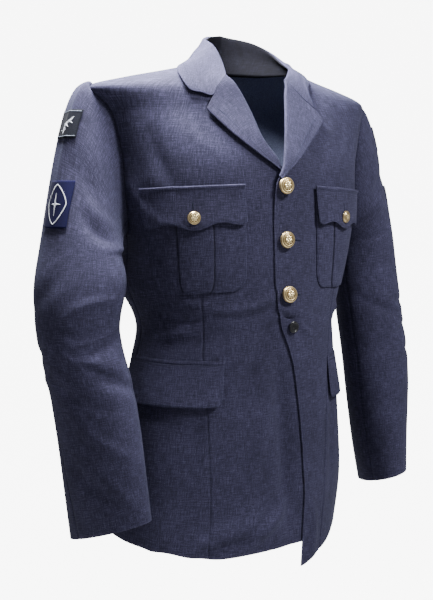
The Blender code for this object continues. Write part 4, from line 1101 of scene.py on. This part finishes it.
def makeSleeve(side, name, upper):
    down = shares(0.62, 0.0038)
    stations = np.interp(down, [0, 0.30, 1], [0, 1, 2])
    seamBack = tableAt(sleeve["seamBack"], stations)[0]
    seamFront = np.full(len(stations), sleeve["seamFront"][side])
    first, last = (seamBack, seamFront) if upper else (seamFront, seamBack + 360)
    share = shares(0.21 if upper else 0.15)
    phi = mix((first + sleeve["gap"])[:, None], (last - sleeve["gap"])[:, None], share[None, :])
    station = np.broadcast_to(stations[:, None], phi.shape)
    base = onSleeve(side, phi, station, np.zeros(phi.shape))
    sink = pressed(base, "abd", 0.0008)
    normal = sleeveNormal(side, phi, station)
    face = base + normal * sink[..., None]
    back = base + normal * (sink * 0.5 - cloth["wall"])[..., None]
    along = np.interp(stations, [0, 1, 2], [0, 0.22, 0.605])
    flat = np.stack([np.radians(phi) * sleeve["radius"], np.broadcast_to(along[:, None], phi.shape)], -1)
    return meshPiece(name, face, back, outerAndLining, flat, "t")


def stationAt(side, phi, height):
    low, high = np.full(np.shape(phi), 0.02), np.full(np.shape(phi), 2.0)
    for _ in range(26):
        middle = (low + high) / 2
        above = sleevePoint(side, phi, middle)[..., 2] > height
        low, high = np.where(above, middle, low), np.where(above, high, middle)
    return low


# Pockets and flaps

pocket = {
    # corner angles and heights: top inner, top outer, bottom inner, bottom outer
    left: ((27.0, -0.1830), (72.5, -0.1880), (30.5, -0.3350), (72.0, -0.3380)),
    right: ((-29.8, -0.1820), (-76.5, -0.1880), (-26.0, -0.3330), (-74.0, -0.3390)),
    "bow": {left: 0.0, right: -3.0},
    "width": 0.150,
    "wall": 0.0015,
    "gap": 0.0007,
    "corner": 0.024,
    "swell": 0.0030,
    "pleatHalf": 0.17,
    "pleatRise": 0.0012,
    "pleatGroove": 0.0013,
}

flap = {
    # share across, depth of the lower edge
    "edge": (
        (0.00, 0.0520),
        (0.06, 0.0560),
        (0.27, 0.0510),
        (0.50, 0.0610),
        (0.73, 0.0510),
        (0.94, 0.0560),
        (1.00, 0.0520),
    ),
    "wall": 0.0018,
    "spring": 0.0032,    # how far the lower edge stands off
    "ridge": 0.0014,     # pressed ridge along the top edge
    "gap": 0.0004,       # over the pocket
}

hipFlap = {
    # inner angle, outer angle, top height
    left: (47.0, 104.0, -0.4520),
    right: (-37.5, -95.0, -0.4395),
    "depth": 0.060,
    "corner": 0.016,
    "spring": 0.0042,
    "gap": 0.0004,
    "width": 0.165,
    "radius": 0.172,     # of the body, to turn degrees into metres
    "weltDepth": 0.006,
    "weltWall": 0.0010,
}


def pocketSpot(side, across, down):
    innerTop, outerTop, innerLow, outerLow = pocket[side]
    bow = pocket["bow"][side] * 4 * across * (1 - across)
    angle = mix(mix(innerTop[0], outerTop[0], across), mix(innerLow[0], outerLow[0], across), down) + bow
    height = mix(mix(innerTop[1], outerTop[1], across), mix(innerLow[1], outerLow[1], across), down)
    return angle, height


def pocketHeight(side):
    return pocket[side][0][1] - pocket[side][2][1]


def pocketSwell(across, down):
    return pocket["gap"] + pocket["swell"] * np.sin(math.pi * across) * np.sin(math.pi * np.clip(down, 0, 1))


def pocketLift(across, down):
    edge = np.abs(np.abs(across - 0.5) - pocket["pleatHalf"]) * pocket["width"]
    pleat = pocket["pleatRise"] * smooth(-0.006, 0.004, pocket["pleatHalf"] - np.abs(across - 0.5))
    return pocketSwell(across, down) + pleat, bell(edge, 0.0012)


def cornerInset(down, height, corner, width):
    short = np.maximum(corner - (1 - down) * height, 0.0)
    return (corner - np.sqrt(np.maximum(corner ** 2 - short ** 2, 0.0))) / width


def makeBreastPocket(side, prefix):
    height = pocketHeight(side)
    width = pocket["width"]
    pleat = []
    for middle in (0.5 - pocket["pleatHalf"], 0.5 + pocket["pleatHalf"]):
        pleat += [middle + k / width for k in (-0.0024, -0.0013, -0.0006, 0.0, 0.0006, 0.0013, 0.0024)]
    across = np.array(sorted(set(shares(width, 0.003)) | set(pleat)))
    down = np.array(sorted(set(mix(0.05, 1.0, shares(0.14, 0.003))) | set(np.linspace(0.84, 1.0, 22))))
    across, down = np.meshgrid(across, down)
    inset = cornerInset(down, height, pocket["corner"], width)
    spot = pocketSpot(side, mix(inset, 1 - inset, across), down)
    lift, groove = pocketLift(across, down)
    lift = lift + frontLift(side, *spot)
    base = onTorso(*spot, lift)
    sink = pressed(base, "abt", 0.0007) - groove * pocket["pleatGroove"]
    face = onTorso(*spot, lift + pocket["wall"] + sink)
    # the pleat's grooves carry painted shade and the cut rim painted shadow
    return meshPiece(prefix + "breast_pocket", face, base, [wool], grain(*spot), "abdt", groove, rimPaintedShadow=1.0)


def flapSpot(side, across, part):
    height = pocketHeight(side)
    depth = tableAt(flap["edge"], across)[0]
    down = part * depth / height
    spot = pocketSpot(side, across, down)
    lift = frontLift(side, *spot) + pocketSwell(across, down) + flap["spring"] * part ** 2
    return spot, lift + pocket["pleatRise"] + pocket["wall"] + flap["gap"], part * depth


def makeBreastFlap(side, prefix):
    across, part = np.meshgrid(shares(0.150, 0.0026), shares(0.056, 0.0026))
    spot, lift, depth = flapSpot(side, across, part)
    base = onTorso(*spot, lift)
    ridge = flap["ridge"] * (1 - smooth(0.0030, 0.0048, depth)) - 0.0006 * bell(depth - 0.0056, 0.0010)
    sink = pressed(base, "abt", 0.0005)
    face = onTorso(*spot, lift + flap["wall"] + ridge + sink)
    # the cut rim is drawn dark, as painted shadow under the flap's edge
    return meshPiece(prefix + "breast_flap", face, base, [wool], grain(*spot), rimPaintedShadow=1.0)


def hipSpot(side, across, down):
    inner, outer, top = hipFlap[side]
    width = math.radians(abs(outer - inner)) * hipFlap["radius"]
    inset = cornerInset(down, hipFlap["depth"], hipFlap["corner"], width)
    return mix(inner, outer, mix(inset, 1 - inset, across)), top - down * hipFlap["depth"]


def makeHipFlap(side, prefix):
    down = np.array(sorted(set(shares(hipFlap["depth"], 0.0026)) | set(np.linspace(0.75, 1.0, 16))))
    across, down = np.meshgrid(shares(hipFlap["width"], 0.0028), down)
    spot = hipSpot(side, across, down)
    lift = frontLift(side, *spot) + hipFlap["gap"] + hipFlap["spring"] * down
    base = onTorso(*spot, lift)
    face = onTorso(*spot, lift + flap["wall"] + pressed(base, "abt", 0.0006))
    # the cut rim is drawn dark, as painted shadow under the hip flap's edge
    return meshPiece(prefix + "hip_flap", face, base, [wool], grain(*spot), "abt", rimPaintedShadow=1.0)


def makeHipWelt(side, prefix):
    inner, outer, top = hipFlap[side]
    low = top + hipFlap["gap"]
    along = mix(inner, outer, shares(hipFlap["width"], 0.003))
    angles, heights = np.meshgrid(along, low + hipFlap["weltDepth"] * shares(0.020, 0.002))
    lift = frontLift(side, angles, heights) + hipFlap["gap"]
    base = onTorso(angles, heights, lift)
    belly = 0.0006 * np.sin(math.pi * (heights - low) / hipFlap["weltDepth"])
    face = onTorso(angles, heights, lift + hipFlap["weltWall"] + belly)
    return meshPiece(prefix + "hip_welt", face, base, [wool], grain(angles, heights), "abd")


# Buttons

button = {
    "radius": 0.0125,
    "pocketRadius": 0.0095,
    "waistRadius": 0.0085,
    "dome": 0.36,
    "rim": 0.10,
    "petals": 8,
    "relief": 0.055,     # of the radius
    "front": (("front_button_1", -0.6, -0.1835), ("front_button_2", 0.9, -0.2610), ("front_button_3", 4.2, -0.3415)),
    "waist": ("waist_button", 8.6, -0.3895),
    "pocketDrop": 0.043,
    "shanks": {"front": 0.0028, "pocket": 0.0018, "waist": 0.0015},
    "gap": 0.0005,
}


def buttonRelief(share, turn):  # generic rosette in a rope rim, 0 low to 1 high
    petal = np.abs(np.cos(turn * button["petals"] / 2)) ** 0.7
    bloom = petal * (1 - smooth(0.44, 0.56, share / (0.72 + 0.28 * petal))) * smooth(0.12, 0.20, share)
    boss = 1 - smooth(0.11, 0.16, share)
    ring = bell(share - 0.68, 0.035)
    rope = bell(share - 0.90, 0.050) * (0.75 + 0.25 * np.cos(turn * 36 + share * 30))
    return np.maximum.reduce([bloom * 0.9, boss, ring * 0.7, rope])


def placeButton(name, radius, shank, spot, lift, material, plastic=False):
    steps, rings = 72, 40
    share = np.linspace(0, 1, rings)[1:]
    turn = np.linspace(0, 2 * math.pi, steps, endpoint=False)
    shareGrid, turnGrid = np.meshgrid(share, turn, indexing="ij")
    rim, dome = radius * button["rim"], radius * button["dome"]
    if plastic:
        relief = smooth(0.62, 0.76, shareGrid) * (1 - smooth(0.90, 1.0, shareGrid))
        for k in range(4):  # sewing holes
            place = math.pi / 4 + k * math.pi / 2
            holeX, holeY = 0.26 * math.cos(place), 0.26 * math.sin(place)
            off = np.hypot(shareGrid * np.cos(turnGrid) - holeX, shareGrid * np.sin(turnGrid) - holeY)
            relief = relief - 1.6 * (1 - smooth(0.07, 0.12, off))
        top = rim + radius * (0.16 + 0.07 * relief)
        marks = np.clip(relief, 0, 1)
    else:
        marks = buttonRelief(shareGrid, turnGrid)
        top = rim + dome * np.sqrt(np.clip(1 - (shareGrid * 0.94) ** 2, 0, 1)) + radius * button["relief"] * marks
    spread = shareGrid * radius * (1.0 if plastic else 0.965)
    rows = [np.stack([spread * np.cos(turnGrid), spread * np.sin(turnGrid), top], -1)]
    outline = [(1.0, rim * 1.3), (1.0, rim * 0.5), (0.93, 0.0), (0.27, 0.0), (0.25, -shank)]
    for wide, height in outline:
        ring = np.stack([wide * radius * np.cos(turn), wide * radius * np.sin(turn), np.full(steps, height)], -1)
        rows.append(ring[None])
    grid = np.concatenate(rows)
    count = grid.shape[0]
    middleTop = rim + (radius * 0.16 if plastic else dome + radius * button["relief"])
    points = [(0.0, 0.0, middleTop)] + grid.reshape(-1, 3).tolist() + [(0.0, 0.0, -shank)]
    faces = []
    for r in range(count - 1):
        for s in range(steps):
            a, b = 1 + r * steps + s, 1 + r * steps + (s + 1) % steps
            faces.append((a, a + steps, b + steps, b))
    for s in range(steps):
        faces.append((0, 1 + s, 1 + (s + 1) % steps))
        low = 1 + (count - 1) * steps
        faces.append((len(points) - 1, low + (s + 1) % steps, low + s))
    mesh = bpy.data.meshes.new(name)
    mesh.from_pydata(points, [], faces)
    values = [1.0] + marks.ravel().tolist() + [0.4] * (len(outline) * steps) + [0.0]
    markPoints(mesh, "relief", values)
    angle, height = spot
    normal = torsoNormal(np.array(angle), np.array(height))
    seat = onTorso(np.array(angle), np.array(height), np.array(lift + shank + button["gap"]))
    turnTo = Vector(normal).to_track_quat("Z", "Y").to_matrix().to_4x4()
    mesh.transform(Matrix.Translation(Vector(seat)) @ turnTo)
    faceOutwards(mesh)
    mesh.materials.append(material)
    mesh.shade_smooth()
    mesh.set_sharp_from_angle(angle=math.radians(50))
    return addPiece(name, mesh)


# Badges

badge = {
    "wall": 0.0012,
    "gap": 0.0009,
    "armRadius": 0.059,
    # name, right and left centre angle, half width, top, bottom
    "shoulder": ("shoulder_badge", 12, -2, 0.024, -0.0800, -0.1190),
    "sleeve": ("sleeve_badge", 22, 4, 0.023, -0.1780, -0.2420),
}


def badgePoint(side, kind, across, down, lift):  # across and down run from 0 to 1 over the badge
    name, rightPhi, leftPhi, halfWidth, top, bottom = badge[kind]
    phi = leftPhi if side == left else rightPhi
    reach = math.degrees(halfWidth / badge["armRadius"])
    phis = mix(phi - reach, phi + reach, np.asarray(across, float))
    station = stationAt(side, phis, mix(top, bottom, np.asarray(down, float)))
    return onSleeve(side, phis, station, np.full(np.shape(phis), lift)), sleeveNormal(side, phis, station)


def makeBadge(side, prefix, kind, material):
    across, down = np.meshgrid(np.linspace(0, 1, 26), np.linspace(0, 1, 30))
    lifts = (badge["gap"] + badge["wall"], badge["gap"])
    face, back = (badgePoint(side, kind, across, down, lift)[0] for lift in lifts)
    return meshPiece(prefix + badge[kind][0], face, back, [material])


def badgeLine(side, kind, points, reach):
    points = np.array(points, float)
    line, normals = badgePoint(side, kind, points[:, 0], points[:, 1], badge["gap"] + badge["wall"] + 0.0001)
    return line, normals, reach


def sprig(side):  # generic laurel sprig: a stem with leaves on both sides
    lines = []
    stem = [(0.16 + 0.62 * t, 0.74 - 0.36 * t + 0.10 * math.sin(math.pi * t)) for t in np.linspace(0, 1, 14)]
    lines.append(badgeLine(side, "shoulder", stem, np.linspace(0.8, 0.5, 14)))
    for k in range(5):
        t = 0.16 + 0.19 * k
        x, y = 0.16 + 0.62 * t, 0.74 - 0.36 * t + 0.10 * math.sin(math.pi * t)
        for way in (-1, 1):
            length = 0.17 - 0.012 * k
            tipX, tipY = x + length * 0.95, y + way * length * 0.95 - 0.06
            leaf = []
            for u in np.linspace(0, 1, 7):
                leaf.append((mix(x, tipX, u), mix(y, tipY, u) - way * 0.02 * math.sin(math.pi * u)))
            reach = 2.4 * np.sin(math.pi * np.linspace(0.08, 0.95, 7)) + 0.3
            lines.append(badgeLine(side, "shoulder", leaf, reach))
    return lines


def lozenge(side):  # generic lozenge outline with rounded corners round a four-point star
    outline = []
    for turn in np.linspace(0, 2 * math.pi, 49):
        c, s = math.cos(turn), math.sin(turn)
        size = 1 / (abs(c) ** 1.35 + abs(s) ** 1.35) ** (1 / 1.35)
        outline.append((0.5 + 0.38 * size * c, 0.5 + 0.42 * size * s))
    lines = [badgeLine(side, "sleeve", outline, 1.5)]
    for k in range(4):
        turn = k * math.pi / 2
        tip = (0.5 + 0.20 * math.cos(turn), 0.5 + 0.24 * math.sin(turn))
        ray = [(mix(0.5, tip[0], u), mix(0.5, tip[1], u)) for u in np.linspace(0, 1, 8)]
        lines.append(badgeLine(side, "sleeve", ray, 3.4 * (1 - np.linspace(0, 0.93, 8)) ** 1.3 + 0.2))
    return lines


# Making the jacket


def declare(prefix, kind, piece):
    settle(piece, prefix + kind)


lapelFaces = {}
for side, prefix in sides:
    declare(prefix, "front", makeFront(side, prefix))
    declare(prefix, "back", makeBack(side, prefix))
    declare(prefix, "top_sleeve", makeSleeve(side, prefix + "top_sleeve", True))
    declare(prefix, "under_sleeve", makeSleeve(side, prefix + "under_sleeve", False))
    lapelPiece, lapelFaces[side] = makeLapel(side, prefix)
    declare(prefix, "lapel", lapelPiece)
    declare(prefix, "breast_pocket", makeBreastPocket(side, prefix))
    declare(prefix, "breast_flap", makeBreastFlap(side, prefix))
    declare(prefix, "hip_flap", makeHipFlap(side, prefix))
    declare(prefix, "hip_welt", makeHipWelt(side, prefix))
    declare(prefix, "shoulder_badge", makeBadge(side, prefix, "shoulder", greyBadge))
    declare(prefix, "sleeve_badge", makeBadge(side, prefix, "sleeve", navyBadge))
collarPiece, collarFace = makeCollar()
declare("", "collar", collarPiece)
declare("", "vent_underlap", makeVent())

for name, angle, height in button["front"]:
    lift = float(frontLift(left, np.array(angle), np.array(height)))
    piece = placeButton(name, button["radius"], button["shanks"]["front"], (angle, height), lift, brass)
    settle(piece, name)
name, angle, height = button["waist"]
lift = float(frontLift(left, np.array(angle), np.array(height)))
piece = placeButton(name, button["waistRadius"], button["shanks"]["waist"], (angle, height), lift, darkPlastic, True)
settle(piece, name)
for side, prefix in sides:
    down = button["pocketDrop"] / pocketHeight(side)
    across = np.array(0.5)
    spot = pocketSpot(side, across, down)
    lift = float(frontLift(side, *spot)) + pocketSwell(0.5, down) + pocket["pleatRise"] + pocket["wall"]
    lift = lift + flap["gap"] + flap["wall"]
    piece = placeButton(prefix + "pocket_button", button["pocketRadius"], button["shanks"]["pocket"],
                        tuple(float(x) for x in spot), lift, brass)
    settle(piece, prefix + "pocket_button")

embroidery = dict(pitch=0.00045, along=0.00030, height=0.00035)
for side, prefix in sides:
    stitches(prefix + "badge_motif", lozenge(side), paleThread, "navy_badge", across=0.00060, **embroidery)
    stitches(prefix + "badge_sprig", sprig(side), paleThread, "grey_badge", across=0.00050, **embroidery)
    bars = [badgeLine(side, "shoulder", [(u, v) for u in np.linspace(0.02, 0.98, 12)], 1.0) for v in (0.06, 0.94)]
    stitches(prefix + "badge_bars", bars, greyThread, "grey_badge", across=0.00060, **embroidery)
print("embroidery made")

sewing = {
    "inset": 0.0022,     # of the edge stitching
    "pitch": 0.0030,
    "column": 39,        # of a lapel's or the collar's points, where its edge is stitched
}
holeThread = dict(pitch=0.00045, along=0.00028, across=0.0011, height=0.00030)  # the worked edge of a buttonhole
# the dark line along each buttonhole's middle, painted shade of the slit
slitThread = dict(pitch=0.0004, along=0.0004, across=0.00035, height=0.00042)


def sewnRow(angles, heights, lift):
    return onTorso(angles, heights, lift), torsoNormal(angles, heights), 1.0


def threeSides(near, lower, down):  # places across and down a flap or pocket: its lower edge, inner and outer side
    t = np.linspace(0, 1, len(down))
    return (mix(near, 1 - near, t), lower), (np.full(len(t), near), down), (np.full(len(t), 1 - near), down)


def flapStitching(side):
    near = sewing["inset"] / pocket["width"]
    t = np.linspace(0, 1, 70)
    lower = 1 - sewing["inset"] / tableAt(flap["edge"], mix(near, 1 - near, t))[0]
    rows = []
    for across, part in threeSides(near, lower, mix(0.12, 1 - sewing["inset"] / 0.052, t)):
        spot, lift, depth = flapSpot(side, across, part)
        rows.append(sewnRow(*spot, lift + flap["wall"]))
    return rows


def pocketStitching(side):
    height, near = pocketHeight(side), sewing["inset"] / pocket["width"]
    lower = np.full(60, 1 - sewing["inset"] / height)
    rows = []
    for across, down in threeSides(near, lower, np.linspace(0.42, 0.985, 60)):
        corner = cornerInset(down, height, pocket["corner"], pocket["width"])
        spot = pocketSpot(side, mix(corner, 1 - corner, across), down)
        rows.append(sewnRow(*spot, pocketLift(across, down)[0] + frontLift(side, *spot) + pocket["wall"]))
    return rows


def hipStitching(side):
    lower = np.full(60, 1 - sewing["inset"] / hipFlap["depth"])
    rows = []
    for across, down in threeSides(sewing["inset"] / hipFlap["width"], lower, np.linspace(0.05, 0.96, 60)):
        spot = hipSpot(side, across, down)
        rise = hipFlap["gap"] + hipFlap["spring"] * down + flap["wall"]
        rows.append(sewnRow(*spot, frontLift(side, *spot) + rise))
    return rows


def faceStitching(face, column, rows):  # a row of stitches along one column of a piece's outer face
    line = face[rows, column]
    around = face[rows, column] - face[rows, column - 1]
    along = np.gradient(line, axis=0)
    normals = unit(np.cross(along, around))
    outward = line - np.array([0.0, 0.02, 0.0])
    normals = normals * np.where(dot(normals, outward) < 0, -1.0, 1.0)
    return line + normals * 0.0001, normals, 1.0


def edgeStitching():
    heights = np.linspace(-0.745, -0.178, 220)
    edge = tableAt(frontEdge, heights)[0] + math.degrees(sewing["inset"] / 0.125)
    return sewnRow(edge, heights, frontLift(left, edge, heights))


frontHoles = []
for angle, height, length in ((0.9, -0.2610, 13.0), (4.2, -0.3415, 11.0)):
    angles = np.linspace(angle + 4.0, angle + length, 14)
    heights = np.linspace(height - 0.0005, height - 0.0015, 14)
    frontHoles.append(sewnRow(angles, heights, frontLift(left, angles, heights) + 0.0001))
stitches("frontButtonholes", frontHoles, seamThread, "wool", **holeThread)
stitches("frontButtonholeSlits", frontHoles, darkThread, "wool", **slitThread)
for side, prefix in sides:
    name = prefix.rstrip("_")
    spot, lift, depth = flapSpot(side, np.full(12, 0.5), np.linspace(0.0225, 0.0335, 12) / 0.0610)
    hole = [sewnRow(*spot, lift + flap["wall"])]
    stitches(name + "FlapButtonhole", hole, seamThread, "wool", **holeThread)
    stitches(name + "FlapSlit", hole, darkThread, "wool", **slitThread)
    rows = flapStitching(side) + pocketStitching(side) + hipStitching(side)
    rows.append(faceStitching(lapelFaces[side], sewing["column"], slice(6, -8)))
    stitches(name + "EdgeStitching", rows, seamThread, "wool", pitch=sewing["pitch"])
seamRows = [edgeStitching(), faceStitching(collarFace, sewing["column"], slice(4, -4))]
stitches("frontAndCollarStitching", seamRows, seamThread, "wool", pitch=sewing["pitch"])
print("sewing made")


# Studio

studio = {
    "floor": -1.60,
    "bend": 2.5,         # radius of the paper's curve behind the jacket
    "curveFrom": 1.2,
    "halfWidth": 9.0,
    "glow": 7.5,         # of the backdrop, for the camera only
    "daylight": 0.32,    # all round the jacket
}


def makeStage():
    points, faces = [], []
    floor, bend, curveFrom = studio["floor"], studio["bend"], studio["curveFrom"]
    outline = [(-6.0, floor), (curveFrom, floor)]
    for t in np.linspace(0.1, math.pi / 2, 14):
        outline.append((curveFrom + bend * math.sin(t), floor + bend * (1 - math.cos(t))))
    outline.append((curveFrom + bend, 6.0))
    for k, (forward, height) in enumerate(outline):
        for across in (-studio["halfWidth"], studio["halfWidth"]):
            points.append((across, forward, height))
        if k:
            faces.append((2 * k - 2, 2 * k - 1, 2 * k + 1, 2 * k))
    mesh = bpy.data.meshes.new("paperSweep")
    mesh.from_pydata(points, [], faces)
    mesh.transform(Matrix.Rotation(math.radians(-view["turn"]), 4, "Z"))
    mesh.shade_smooth()
    # white paper, as bright in the picture as an overexposed backdrop but no lamp to the jacket
    material, tree, shader = newMaterial("whitePaper")
    seen = addNode(tree, "ShaderNodeLightPath").outputs["Is Camera Ray"]
    glow = addNode(tree, "ShaderNodeMath", {0: seen, 1: studio["glow"]}, operation="MULTIPLY")
    feed(tree, shader, {"Base Color": linear("#f6f6f6"), "Roughness": 1.0, "Emission Color": (1.0, 1.0, 1.0, 1.0),
                        "Emission Strength": glow})
    mesh.materials.append(material)
    addObject("paperSweep", mesh)


def addLight(name, place, size, power, target=(0.0, 0.0, -0.3)):
    lamp = bpy.data.lights.new(name, "AREA")
    lamp.shape = "DISK"
    lamp.size = size
    lamp.energy = power
    item = addObject(name, lamp)
    item.location = place
    item.rotation_euler = (Vector(target) - Vector(place)).to_track_quat("-Z", "Y").to_euler()


def makeStudio():
    world = bpy.data.worlds.new("softStudio")
    world.use_nodes = True
    tree = world.node_tree
    seen = addNode(tree, "ShaderNodeLightPath").outputs["Is Camera Ray"]
    levels = {0: seen, 1: studio["glow"], 2: studio["daylight"]}
    bright = addNode(tree, "ShaderNodeMath", levels, operation="MULTIPLY_ADD")
    feed(tree, tree.nodes["Background"], {"Color": (1.0, 1.0, 1.0, 1.0), "Strength": bright})
    bpy.context.scene.world = world
    addLight("topSoftbox", (-0.21, 0.00, 0.40), 0.28, 39, (-0.11, -0.03, -0.05))
    addLight("frontSoftbox", (0.70, -1.25, 1.05), 0.4, 50)
    lens = bpy.data.cameras.new("pictureCamera")
    lens.lens = view["focal"]
    lens.sensor_width = 36.0
    camera = addObject("pictureCamera", lens)
    camera.location = view["place"]
    camera.rotation_euler = (math.radians(90 - view["tip"]), 0.0, math.radians(-view["turn"]))
    bpy.context.scene.camera = camera


makeStage()
makeStudio()
print("studio made")
